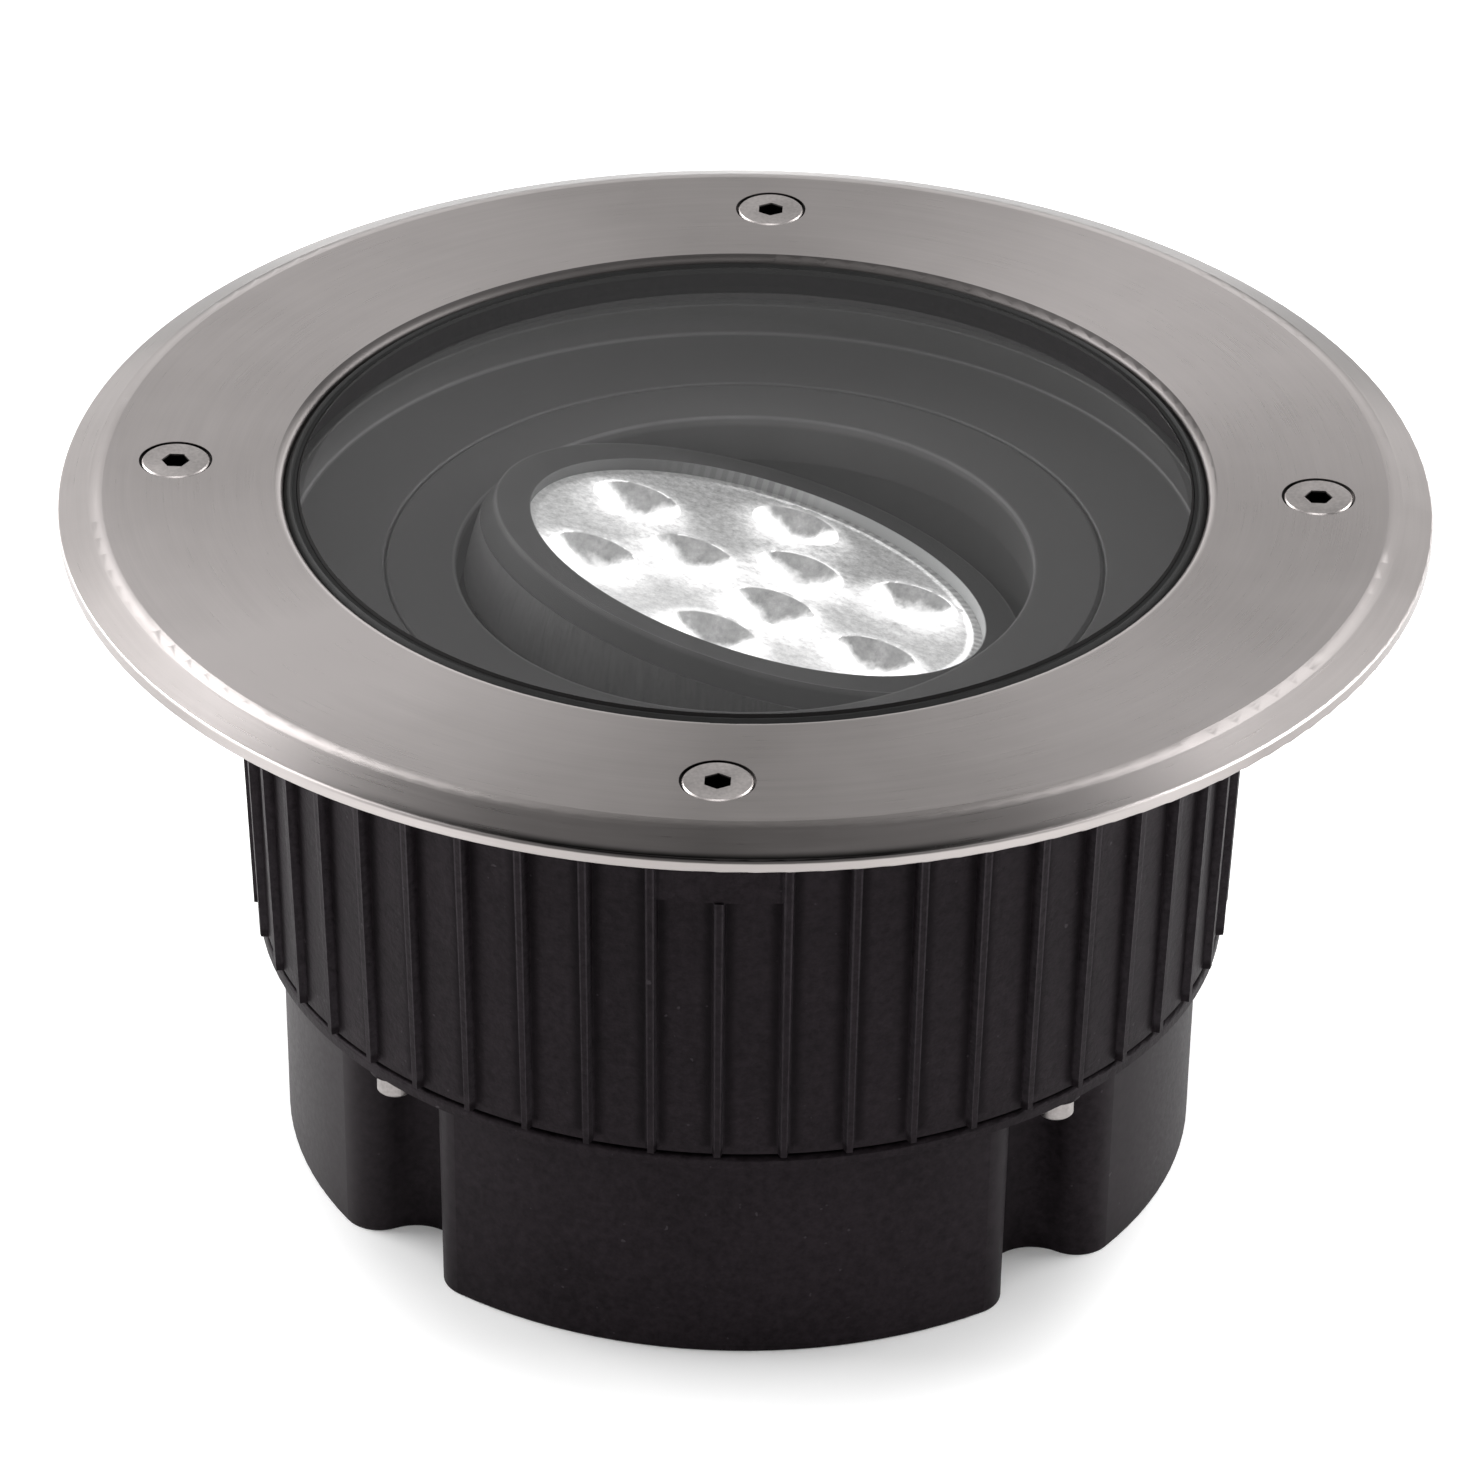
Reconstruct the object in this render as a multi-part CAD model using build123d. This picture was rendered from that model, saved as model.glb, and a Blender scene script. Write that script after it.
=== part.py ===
from build123d import *
import math
import os

# Recessed ground light, in millimetres: Z is up and the origin is at the middle of the base, on the ground.
# From the ground up it is a lobed base cover, a ribbed housing and a steel trim with a glass in it.
# Under the glass a lamp head tilts in a ring, and the ring pans in a fixed baffle.

# Base cover: four lobes under a round flange, parted by four upright channels
BASE_HEIGHT = 38.5
BASE_RADIUS = 75.0
BASE_FLARE = 0.6
BASE_WALL = 3.0
BASE_FLOOR = 3.0
BASE_FOOT_ROUND = 0.5
CHANNEL_COUNT = 4
CHANNEL_START = 45.0
CHANNEL_WIDTH = 14.0
CHANNEL_DEPTH = 11.0
LOBE_ROUND = 6.0
FLANGE_OVERHANG = 4.3
FLANGE_THICK = 2.0
FLANGE_ROUND = 0.6
BASE_GASKET_THICK = 0.6
BASE_GASKET_RECESS = 1.5

# Base screws, one in each channel
BASE_SCREW_INSET = 0.2
BASE_SCREW_HEAD = 5.8
BASE_SCREW_HEAD_HEIGHT = 3.9
BASE_SCREW_SHANK = 3.5
BASE_SCREW_GRIP = 8.0
BASE_BOSS_DIAMETER = 8.0
BASE_BOSS_HEIGHT = 1.0

# Housing: a drafted wall with upright ribs, a wide top flange and a narrow foot flange inside
BODY_HEIGHT = 73.6
PANEL_SETBACK = 0.3
PANEL_DRAFT = 2.0
BODY_WALL = 3.2
BODY_SEAT_WALL = 5.0
RIB_COUNT = 48
RIB_RISE_LOW = 1.2
RIB_RISE_HIGH = 2.0
RIB_WIDTH_LOW = 1.0
RIB_WIDTH_HIGH = 1.5
RIB_FLARE = 0.7
PAD_COUNT = 6
PAD_FIRST_RIB = 4
PAD_DROP = 18.3
PAD_RISE = 0.9
TOP_FLANGE_WIDTH = 17.5
TOP_FLANGE_THICK = 6.7
FOOT_FLANGE_THICK = 4.0
LEDGE_THICK = 3.0
LEDGE_WIDTH = 5.5

# Steel trim with a bevelled rim, rebated over the top flange, and its four countersunk screws
TRIM_OVERHANG = 11.5
TRIM_COVER = 3.5
TRIM_REBATE = 1.5
TRIM_THICK = 4.8
TRIM_LIP = 2.2
TRIM_BEVEL_WIDTH = 6.0
TRIM_BEVEL_DROP = 2.4
TRIM_CROWN_ROUND = 6.0
TRIM_OPENING_ROUND = 1.5
TRIM_EDGE_ROUND = 0.4
TRIM_SCREW_COUNT = 4
TRIM_SCREW_INSET = 6.9
TRIM_SCREW_HEAD = 11.0
TRIM_SCREW_LAND = 0.7
TRIM_SCREW_EDGE = 0.25
TRIM_SCREW_SINK = 0.05
TRIM_SCREW_SHANK = 6.0
TRIM_SCREW_SOCKET = 4.0
TRIM_SCREW_SOCKET_DEPTH = 3.0

# Stepped glass and the silicone seal round it
GLASS_SINK = 0.5
GLASS_THICK = 6.0
GLASS_REST = 1.5
GLASS_CHAMFER = 0.4
SEAL_TOP_THICK = 0.8
SEAL_FOOT_THICK = 1.2
SEAL_WALL = 1.5
SEAL_LIP = 2.0
SEAL_BEAD = 0.8

# Lamp head: a ball-sided cup with a bezel, tilted about a level axis
TILT = 17.5
LEAN = 30.0
HEAD_GLASS_GAP = 0.65
BEZEL_RISE = 8.5
BEZEL_DEPTH = 4.0
BEZEL_FLAT_RADIUS = 44.0
BEZEL_OPENING = 38.2
BEZEL_LIP = 2.0
BEZEL_GAP = 0.2
CUP_CAVITY_RADIUS = 41.0
CUP_FLOOR_RISE = -3.6
CUP_FLOOR_THICK = 3.4
CUP_BACK_ROUND = 2.0

# Lens plate with nine cups, the board under it and its light sources
LENS_PLATE_THICK = 2.0
LENS_SEAT = 1.3
LENS_INNER_COUNT = 3
LENS_INNER_RADIUS = 11.0
LENS_OUTER_COUNT = 6
LENS_OUTER_RADIUS = 28.0
LENS_TURN = -13.0
LENS_MOUTH = 15.0
LENS_FOOT = 6.0
LENS_SKIN = 0.9
LENS_LEG_COUNT = 3
LENS_LEG_CIRCLE = 36.5
LENS_LEG_DIAMETER = 3.0
BOARD_THICK = 1.6
CHIP_SIZE = 3.5
CHIP_HEIGHT = 1.9
BOARD_SCREW_HEAD = 4.5
BOARD_SCREW_HEAD_HEIGHT = 1.6
BOARD_SCREW_SHANK = 2.5
BOARD_SCREW_SOCKET = 2.0

# Heat sink behind the cup
SINK_RADIUS = 36.0
SINK_PLATE_THICK = 3.0
FIN_COUNT = 9
FIN_THICK = 1.8
FIN_PITCH = 7.5
FIN_HEIGHT = 10.0
SINK_SCREW_COUNT = 4
SINK_SCREW_CIRCLE = 30.0
SINK_SCREW_HEAD = 5.0
SINK_SCREW_HEAD_HEIGHT = 2.0
SINK_SCREW_SHANK = 3.0

# Panning ring with the two ears that carry the head, and a thin guard that hides the inside of the housing
PAN_OUTER = 57.7
PAN_HOLE = 46.5
PAN_THICK = 2.15
PAN_SKIRT_THICK = 2.5
PAN_SKIRT_HEIGHT = 8.0
PAN_GUARD_THICK = 1.4
PAN_GUARD_HEIGHT = 21.0
PAN_EDGE_ROUND = 0.5
PAN_ABOVE_PIVOT = 9.8
HEAD_HOLE_GAP = 0.7
EAR_WIDTH = 13.0
EAR_THICK = 3.0
WASHER_THICK = 0.5
WASHER_RADIUS = 5.2
PIVOT_FLAT_CUT = 0.35
PIVOT_DIAMETER = 5.0
PIVOT_THREAD = 4.0
PIVOT_THREAD_LENGTH = 4.0
PIVOT_HEAD = 8.5
PIVOT_HEAD_HEIGHT = 2.2
PIVOT_SOCKET = 3.0
CLIP_THICK = 1.2
CLIP_WIDTH = 4.0
CLIP_GROOVE = 1.0
CLIP_OPENING = 24.0

# Fixed baffle: a low wall, a dished floor and the seat of the panning ring
BAFFLE_WALL = 1.6
BAFFLE_WALL_HEIGHT = 5.6
BAFFLE_DISH = 0.5
BAFFLE_FOOT = 3.9
BAFFLE_FLOOR = 2.4
BAFFLE_SEAT_THICK = 2.0
BAFFLE_EDGE_ROUND = 0.4
BAFFLE_SCREW_COUNT = 4
BAFFLE_SCREW_HEAD = 5.0
BAFFLE_SCREW_HEAD_HEIGHT = 2.0
BAFFLE_SCREW_SHANK = 3.0
BAFFLE_SCREW_BITE = 2.6

# Supply unit, its bracket and the terminal block, on posts in the base
POST_DIAMETER = 8.0
POST_HEIGHT = 5.0
POST_END_INSET = 8.0
POST_SIDE_INSET = 4.5
BRACKET_LENGTH = 96.0
BRACKET_WIDTH = 60.0
BRACKET_THICK = 1.5
BRACKET_TAB_LENGTH = 20.0
BRACKET_TAB_HEIGHT = 12.0
BRACKET_SCREW_HEAD = 5.5
BRACKET_SCREW_HEAD_HEIGHT = 2.2
BRACKET_SCREW_SHANK = 3.0
SUPPLY_LENGTH = 66.0
SUPPLY_WIDTH = 36.0
SUPPLY_HEIGHT = 22.0
SUPPLY_ROUND = 2.0
TERMINAL_LENGTH = 14.0
TERMINAL_WIDTH = 32.0
TERMINAL_HEIGHT = 12.0
TERMINAL_WAYS = 3
TERMINAL_HOLE = 5.0
TERMINAL_GAP = 4.0

# Cable gland in the rear lobe
GLAND_HEIGHT = 21.0
GLAND_THREAD = 20.0
GLAND_BORE = 14.0
GLAND_FLATS = 25.0
GLAND_HEX_THICK = 6.0
GLAND_NECK_LENGTH = 9.0
GLAND_NUT_LENGTH = 14.0
GLAND_NUT_TIP = 18.0
GLAND_NUT_MOUTH = 12.0
GLAND_SEAL_BORE = 9.0
GLAND_WASHER_THICK = 1.5
GLAND_BOSS_DIAMETER = 29.0
GLAND_BOSS_RISE = 1.6
GLAND_INSET = 5.0
LOCKNUT_FLATS = 26.0
LOCKNUT_THICK = 4.5

# Hexagon socket of the common small screws, and clearances
SOCKET_FLATS = 2.5
SEAT_GAP = 0.05
HOLE_GAP = 0.1
SLIP_GAP = 0.2
LINE_GAP = 0.4
BLIND_GAP = 1.0

# Heights worked out from the sizes above
FLANGE_TOP = BASE_HEIGHT + FLANGE_THICK
BODY_BOTTOM = FLANGE_TOP + BASE_GASKET_THICK
BODY_TOP = BODY_BOTTOM + BODY_HEIGHT
FLANGE_UNDERSIDE = BODY_TOP - TOP_FLANGE_THICK
TRIM_SEAT = BODY_TOP - TRIM_REBATE
TRIM_TOP = TRIM_SEAT + TRIM_THICK
LIP_UNDERSIDE = TRIM_TOP - TRIM_LIP
GLASS_TOP = TRIM_TOP - GLASS_SINK
GLASS_BOTTOM = GLASS_TOP - GLASS_THICK
GLASS_STEP = LIP_UNDERSIDE - SEAL_TOP_THICK
SEAL_SEAT = GLASS_BOTTOM - SEAL_FOOT_THICK
TILT_REACH = BEZEL_FLAT_RADIUS * math.sin(math.radians(TILT)) + BEZEL_RISE * math.cos(math.radians(TILT))
PIVOT_HEIGHT = GLASS_BOTTOM - HEAD_GLASS_GAP - TILT_REACH
PAN_TOP = PIVOT_HEIGHT + PAN_ABOVE_PIVOT
PAN_UNDERSIDE = PAN_TOP - PAN_THICK
PAN_SKIRT_BOTTOM = PAN_TOP - PAN_SKIRT_HEIGHT
PAN_GUARD_BOTTOM = PAN_TOP - PAN_GUARD_HEIGHT
BAFFLE_SEAT = PAN_UNDERSIDE - SEAT_GAP
BAFFLE_UNDERSIDE = BAFFLE_SEAT - BAFFLE_SEAT_THICK
BAFFLE_EDGE = PAN_TOP + BAFFLE_DISH
LEDGE_TOP = BAFFLE_EDGE - BAFFLE_FOOT

# Radii worked out from the sizes above, outwards from the base
BASE_SCREW_CIRCLE = BASE_RADIUS - BASE_SCREW_INSET
FLANGE_RADIUS = BASE_RADIUS + FLANGE_OVERHANG
PANEL_RADIUS_LOW = FLANGE_RADIUS - PANEL_SETBACK
PANEL_RADIUS_HIGH = PANEL_RADIUS_LOW + PANEL_DRAFT
TOP_FLANGE_RADIUS = PANEL_RADIUS_HIGH + TOP_FLANGE_WIDTH
FOOT_BORE = BASE_RADIUS - BASE_WALL
BODY_BORE = PANEL_RADIUS_HIGH - BODY_SEAT_WALL
LEDGE_BORE = BODY_BORE - LEDGE_WIDTH
BAFFLE_RADIUS = BODY_BORE - SLIP_GAP
GLASS_RADIUS = BODY_BORE + GLASS_REST
SEAL_RADIUS = GLASS_RADIUS + SEAL_WALL
SEAL_POCKET = SEAL_RADIUS + SLIP_GAP
TRIM_RADIUS = TOP_FLANGE_RADIUS + TRIM_OVERHANG
TRIM_OPENING = GLASS_RADIUS - TRIM_COVER
TRIM_SCREW_CIRCLE = TOP_FLANGE_RADIUS - TRIM_SCREW_INSET
REBATE_RADIUS = TOP_FLANGE_RADIUS + LINE_GAP
GLASS_FACE_RADIUS = TRIM_OPENING - SEAL_LIP - SLIP_GAP
PAN_SKIRT_RADIUS = PAN_HOLE + PAN_SKIRT_THICK
BALL_RADIUS = PAN_HOLE - HEAD_HOLE_GAP
RIB_PITCH = 360 / RIB_COUNT
CHANNEL_ROUND = CHANNEL_WIDTH / 2
CHANNEL_CENTRE = BASE_RADIUS - CHANNEL_DEPTH + CHANNEL_ROUND
BAFFLE_SCREW_CIRCLE = LEDGE_BORE + LEDGE_WIDTH / 2

# Heights along the head's own axis, from the pivot
CUP_TOP = BEZEL_RISE - BEZEL_DEPTH
CUP_BACK = CUP_FLOOR_RISE - CUP_FLOOR_THICK
BEZEL_OUTER = math.sqrt(BALL_RADIUS**2 - CUP_TOP**2) - BEZEL_GAP
LENS_FRONT = BEZEL_RISE - BEZEL_LIP
LENS_BACK = LENS_FRONT - LENS_PLATE_THICK
LENS_RADIUS = CUP_CAVITY_RADIUS + LENS_SEAT
BOARD_TOP = CUP_FLOOR_RISE + BOARD_THICK
CHIP_TOP = BOARD_TOP + CHIP_HEIGHT
SINK_BACK = CUP_BACK - SINK_PLATE_THICK
PIVOT_FLAT = BALL_RADIUS - PIVOT_FLAT_CUT
EAR_FACE = PIVOT_FLAT + WASHER_THICK + 2 * SEAT_GAP
EAR_BACK = EAR_FACE + EAR_THICK

# Places in the base: the supply unit along X, and the gland's lengths from its boss face
POST_TOP = BASE_FLOOR + POST_HEIGHT
BRACKET_TOP = POST_TOP + BRACKET_THICK
SUPPLY_CENTRE = (SUPPLY_LENGTH - BRACKET_LENGTH) / 2 + BRACKET_THICK
GLAND_HEX_TOP = GLAND_WASHER_THICK + GLAND_HEX_THICK
GLAND_NECK_TOP = GLAND_HEX_TOP + GLAND_NECK_LENGTH
GLAND_PAD_DEPTH = GLAND_BOSS_RISE + GLAND_INSET

# Frames of the panning ring and of the tilted head
HEAD_PLACE = Pos(0, 0, PIVOT_HEIGHT) * Rot(0, 0, LEAN) * Rot(0, TILT, 0)
PAN_PLACE = Rot(0, 0, LEAN)


def turned(*points):
    """A solid of revolution about Z, from its half section as radius and height."""
    return revolve(Plane.XZ * make_face(Polyline(*points, close=True)), Axis.Z)


def rounded(section, radius, *corners):
    """The section with the vertex nearest to each given corner rounded."""
    for corner in corners:
        section = fillet(section.vertices().sort_by_distance(corner)[0], radius)
    return section


def ring(outer, inner, low, high):
    """A plain ring between two radii and two heights."""
    return extrude(Plane.XY.offset(low) * (Circle(outer) - Circle(inner)), high - low)


def disc(radius, low, high):
    """A plain upright cylinder between two heights."""
    return extrude(Plane.XY.offset(low) * Circle(radius), high - low)


def hexagon(flats, low, high):
    """An upright hexagonal prism of a given width across its flats."""
    return extrude(Plane.XY.offset(low) * RegularPolygon(flats / 2, 6, major_radius=False), high - low)


def around(shape, radius, count, start=0.0):
    """Copies of a shape, spread evenly on a circle about Z and turned to face outwards."""
    return [place * shape for place in PolarLocations(radius, count, start)]


def cap_screw(head, head_height, shank, length, socket):
    """A screw that points up Z, with the seat of its head at the origin and a hexagon socket below."""
    screw = disc(head / 2, -head_height, 0) + disc(shank / 2, 0, length)
    screw = chamfer(screw.edges().sort_by(Axis.Z)[0], head_height / 10)
    return screw - hexagon(socket, -head_height, -head_height / 2)


# Base cover and what closes it

def lobed_outline(inset=0.0):
    """Plan of the lobes, drawn in by an inset: channels, rounded corners and lobes as tangent arcs."""
    corner_reach = BASE_RADIUS - LOBE_ROUND
    blend = CHANNEL_ROUND + LOBE_ROUND
    cosine = (corner_reach**2 + CHANNEL_CENTRE**2 - blend**2) / (2 * CHANNEL_CENTRE * corner_reach)
    half_mouth = math.degrees(math.acos(cosine))
    corner_x = corner_reach * cosine
    corner_y = corner_reach * math.sin(math.radians(half_mouth))
    lean = math.degrees(math.atan2(corner_y, CHANNEL_CENTRE - corner_x))
    pitch = 360 / CHANNEL_COUNT
    round_inset = LOBE_ROUND - inset
    arcs = (
        CenterArc((CHANNEL_CENTRE, 0), CHANNEL_ROUND + inset, 180 - lean, 2 * lean),
        CenterArc((corner_x, corner_y), round_inset, -lean, lean + half_mouth),
        CenterArc((corner_x, -corner_y), round_inset, -half_mouth, half_mouth + lean),
        CenterArc((0, 0), BASE_RADIUS - inset, half_mouth, pitch - 2 * half_mouth),
    )
    turns = [Rot(0, 0, CHANNEL_START + index * pitch) for index in range(CHANNEL_COUNT)]
    return make_face([turn * arc for turn in turns for arc in arcs])


def gland_place():
    """The outer face of the gland boss, with Z pointing out of the rear lobe."""
    return Pos(0, BASE_RADIUS + GLAND_BOSS_RISE, GLAND_HEIGHT) * Rot(-90, 0, 0)


def base_cover():
    rim = Plane.XY.offset(BASE_HEIGHT) * lobed_outline(-BASE_FLARE)
    cover = loft([lobed_outline(), rim], ruled=True)
    cover = fillet(cover.faces().sort_by(Axis.Z)[0].edges(), BASE_FOOT_ROUND)
    boss = disc(BASE_BOSS_DIAMETER / 2, BASE_HEIGHT - BASE_BOSS_HEIGHT, BASE_HEIGHT)
    flange = disc(FLANGE_RADIUS, BASE_HEIGHT, FLANGE_TOP)
    cover += fillet(flange.edges().sort_by(Axis.Z)[-1], FLANGE_ROUND)
    cover += around(boss, BASE_SCREW_CIRCLE, CHANNEL_COUNT, CHANNEL_START)
    cavity = extrude(Plane.XY.offset(BASE_FLOOR) * lobed_outline(BASE_WALL), FLANGE_TOP - BASE_FLOOR)
    cover = cover - cavity + gland_place() * disc(GLAND_BOSS_DIAMETER / 2, -GLAND_PAD_DEPTH, 0)
    cover -= gland_place() * disc(GLAND_THREAD / 2 + HOLE_GAP, -GLAND_PAD_DEPTH, 0)
    hole = disc(BASE_SCREW_SHANK / 2 + SLIP_GAP, 0, 2 * BASE_HEIGHT)
    cover -= around(hole, BASE_SCREW_CIRCLE, CHANNEL_COUNT, CHANNEL_START)
    post = disc(POST_DIAMETER / 2, BASE_FLOOR, POST_TOP)
    post -= disc(BRACKET_SCREW_SHANK / 2 + HOLE_GAP, BASE_FLOOR, POST_TOP)
    return cover + [place * post for place in post_places()]


def base_gasket():
    seal = ring(PANEL_RADIUS_LOW - BASE_GASKET_RECESS, FOOT_BORE, FLANGE_TOP, BODY_BOTTOM)
    hole = disc(BASE_SCREW_SHANK / 2 + SLIP_GAP, 0, BODY_TOP)
    return seal - around(hole, BASE_SCREW_CIRCLE, CHANNEL_COUNT, CHANNEL_START)


def base_screws():
    seat = BASE_HEIGHT - BASE_BOSS_HEIGHT
    length = BODY_BOTTOM - seat + BASE_SCREW_GRIP
    screw = cap_screw(BASE_SCREW_HEAD, BASE_SCREW_HEAD_HEIGHT, BASE_SCREW_SHANK, length, SOCKET_FLATS)
    return around(Pos(0, 0, seat) * screw, BASE_SCREW_CIRCLE, CHANNEL_COUNT, CHANNEL_START)


# Housing

def wall_share(height):
    """How far up the drafted wall a height lies, from 0 at its foot to 1 under the top flange."""
    return (height - BODY_BOTTOM) / (FLANGE_UNDERSIDE - BODY_BOTTOM)


def panel_radius(height):
    """Outer radius of the drafted wall at a height."""
    return PANEL_RADIUS_LOW + wall_share(height) * PANEL_DRAFT


def rib_section(height):
    """Plan of one rib at a height, rooted in the wall. Ribs grow a little towards the top."""
    share = wall_share(height)
    root = panel_radius(height) - BODY_WALL / 2
    tip = panel_radius(height) + RIB_RISE_LOW + share * (RIB_RISE_HIGH - RIB_RISE_LOW)
    half_tip = (RIB_WIDTH_LOW + share * (RIB_WIDTH_HIGH - RIB_WIDTH_LOW)) / 2
    half_root = half_tip + RIB_FLARE
    points = ((root, -half_root), (tip, -half_tip), (tip, half_tip), (root, half_root))
    return Plane.XY.offset(height) * make_face(Polyline(*points, close=True))


def rib(top):
    """One rib from the foot of the wall up to a height."""
    return loft([rib_section(BODY_BOTTOM), rib_section(top)], ruled=True)


def housing_pad():
    """One of the pads that stiffen the top flange: it fills two rib spaces, a little below the ribs' tips."""
    low = FLANGE_UNDERSIDE - PAD_DROP
    face = PANEL_RADIUS_HIGH + PAD_RISE
    points = (
        (panel_radius(low) - BODY_WALL / 2, low),
        (face, low),
        (face, FLANGE_UNDERSIDE),
        (PANEL_RADIUS_HIGH - BODY_WALL / 2, FLANGE_UNDERSIDE),
    )
    pad = revolve(Plane.XZ * make_face(Polyline(*points, close=True)), Axis.Z, 2 * RIB_PITCH)
    return Rot(0, 0, -RIB_PITCH) * pad


def housing_ribs():
    """All ribs and pads. The rib in the middle of a pad stops under it."""
    full = rib(FLANGE_UNDERSIDE)
    short = rib(FLANGE_UNDERSIDE - PAD_DROP)
    pad = housing_pad()
    made = []
    for index in range(RIB_COUNT):
        turn = Rot(0, 0, index * RIB_PITCH)
        under_pad = (index - PAD_FIRST_RIB) % (RIB_COUNT // PAD_COUNT) == 0
        made += [turn * short, turn * pad] if under_pad else [turn * full]
    return made


def ribbed_housing():
    ledge_low = LEDGE_TOP - LEDGE_THICK
    foot_top = BODY_BOTTOM + FOOT_FLANGE_THICK
    housing = turned(
        (FOOT_BORE, BODY_BOTTOM),
        (PANEL_RADIUS_LOW, BODY_BOTTOM),
        (PANEL_RADIUS_HIGH, FLANGE_UNDERSIDE),
        (TOP_FLANGE_RADIUS, FLANGE_UNDERSIDE),
        (TOP_FLANGE_RADIUS, BODY_TOP),
        (SEAL_POCKET, BODY_TOP),
        (SEAL_POCKET, SEAL_SEAT),
        (BODY_BORE, SEAL_SEAT),
        (BODY_BORE, LEDGE_TOP),
        (LEDGE_BORE, LEDGE_TOP),
        (LEDGE_BORE, ledge_low),
        (panel_radius(ledge_low) - BODY_WALL, ledge_low),
        (panel_radius(foot_top) - BODY_WALL, foot_top),
        (FOOT_BORE, foot_top),
    )
    housing += housing_ribs()
    boss = disc(BASE_BOSS_DIAMETER / 2, foot_top, BODY_BOTTOM + BASE_SCREW_GRIP + BODY_WALL)
    housing += around(boss, BASE_SCREW_CIRCLE, CHANNEL_COUNT, CHANNEL_START)
    base_hole = disc(BASE_SCREW_SHANK / 2 + HOLE_GAP, BODY_BOTTOM, BODY_BOTTOM + BASE_SCREW_GRIP + BLIND_GAP)
    housing -= around(base_hole, BASE_SCREW_CIRCLE, CHANNEL_COUNT, CHANNEL_START)
    trim_hole = disc(TRIM_SCREW_SHANK / 2 + HOLE_GAP, FLANGE_UNDERSIDE, BODY_TOP)
    housing -= around(trim_hole, TRIM_SCREW_CIRCLE, TRIM_SCREW_COUNT)
    ledge_hole = disc(BAFFLE_SCREW_SHANK / 2 + HOLE_GAP, ledge_low, LEDGE_TOP)
    housing -= around(ledge_hole, BAFFLE_SCREW_CIRCLE, BAFFLE_SCREW_COUNT)
    return housing


# Trim, glass and seal

def trim_ring():
    bevel_top = TRIM_RADIUS - TRIM_BEVEL_WIDTH
    bevel_low = TRIM_TOP - TRIM_BEVEL_DROP
    section = make_face(
        Polyline(
            (TRIM_OPENING, LIP_UNDERSIDE),
            (SEAL_POCKET, LIP_UNDERSIDE),
            (SEAL_POCKET, BODY_TOP),
            (REBATE_RADIUS, BODY_TOP),
            (REBATE_RADIUS, TRIM_SEAT),
            (TRIM_RADIUS, TRIM_SEAT),
            (TRIM_RADIUS, bevel_low),
            (bevel_top, TRIM_TOP),
            (TRIM_OPENING, TRIM_TOP),
            close=True,
        )
    )
    section = rounded(section, TRIM_OPENING_ROUND, (TRIM_OPENING, TRIM_TOP))
    section = rounded(section, TRIM_EDGE_ROUND, (TRIM_RADIUS, bevel_low), (TRIM_RADIUS, TRIM_SEAT))
    section = rounded(section, TRIM_CROWN_ROUND, (bevel_top, TRIM_TOP))
    trim = revolve(Plane.XZ * section, Axis.Z)
    land = TRIM_TOP - TRIM_SCREW_SINK - TRIM_SCREW_LAND
    mouth = TRIM_SCREW_HEAD / 2 + HOLE_GAP
    throat = TRIM_SCREW_SHANK / 2 + SLIP_GAP
    sink = turned(
        (0, TRIM_SEAT),
        (throat, TRIM_SEAT),
        (throat, land - mouth + throat),
        (mouth, land),
        (TRIM_SCREW_HEAD / 2 + LINE_GAP, land),
        (TRIM_SCREW_HEAD / 2 + LINE_GAP, TRIM_TOP),
        (0, TRIM_TOP),
    )
    return trim - around(sink, TRIM_SCREW_CIRCLE, TRIM_SCREW_COUNT)


def trim_screws():
    head = TRIM_SCREW_HEAD / 2
    shank = TRIM_SCREW_SHANK / 2
    top = TRIM_TOP - TRIM_SCREW_SINK
    land = top - TRIM_SCREW_LAND
    neck = land - (head - shank)
    tip = FLANGE_UNDERSIDE
    screw = turned(
        (0, tip),
        (shank, tip),
        (shank, neck),
        (head, land),
        (head, top - TRIM_SCREW_EDGE),
        (head - TRIM_SCREW_EDGE, top),
        (0, top),
    )
    screw -= hexagon(TRIM_SCREW_SOCKET, top - TRIM_SCREW_SOCKET_DEPTH, top)
    return around(screw, TRIM_SCREW_CIRCLE, TRIM_SCREW_COUNT)


def glass():
    section = make_face(
        Polyline(
            (0, GLASS_BOTTOM),
            (GLASS_RADIUS, GLASS_BOTTOM),
            (GLASS_RADIUS, GLASS_STEP),
            (GLASS_FACE_RADIUS, GLASS_STEP),
            (GLASS_FACE_RADIUS, GLASS_TOP),
            (0, GLASS_TOP),
            close=True,
        )
    )
    edge = section.vertices().sort_by_distance((GLASS_FACE_RADIUS, GLASS_TOP))[0]
    return revolve(Plane.XZ * chamfer(edge, GLASS_CHAMFER), Axis.Z)


def glass_seal():
    lip_inner = GLASS_FACE_RADIUS + HOLE_GAP
    lip_outer = TRIM_OPENING - HOLE_GAP
    lip_top = GLASS_TOP - SEAL_BEAD / 2
    middle = (lip_inner + lip_outer) / 2
    inner_wall = GLASS_RADIUS + SEAT_GAP
    return turned(
        (BODY_BORE, SEAL_SEAT),
        (SEAL_RADIUS, SEAL_SEAT),
        (SEAL_RADIUS, LIP_UNDERSIDE),
        (lip_outer, LIP_UNDERSIDE),
        (lip_outer, TRIM_TOP - TRIM_OPENING_ROUND),
        (middle + SEAL_BEAD / 2, lip_top),
        (middle, lip_top + SEAL_BEAD / 2),
        (middle - SEAL_BEAD / 2, lip_top),
        (lip_inner, lip_top),
        (lip_inner, GLASS_STEP + SEAT_GAP),
        (inner_wall, GLASS_STEP + SEAT_GAP),
        (inner_wall, GLASS_BOTTOM - SEAT_GAP),
        (BODY_BORE, GLASS_BOTTOM - SEAT_GAP),
    )


# Baffle and panning ring

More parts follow.
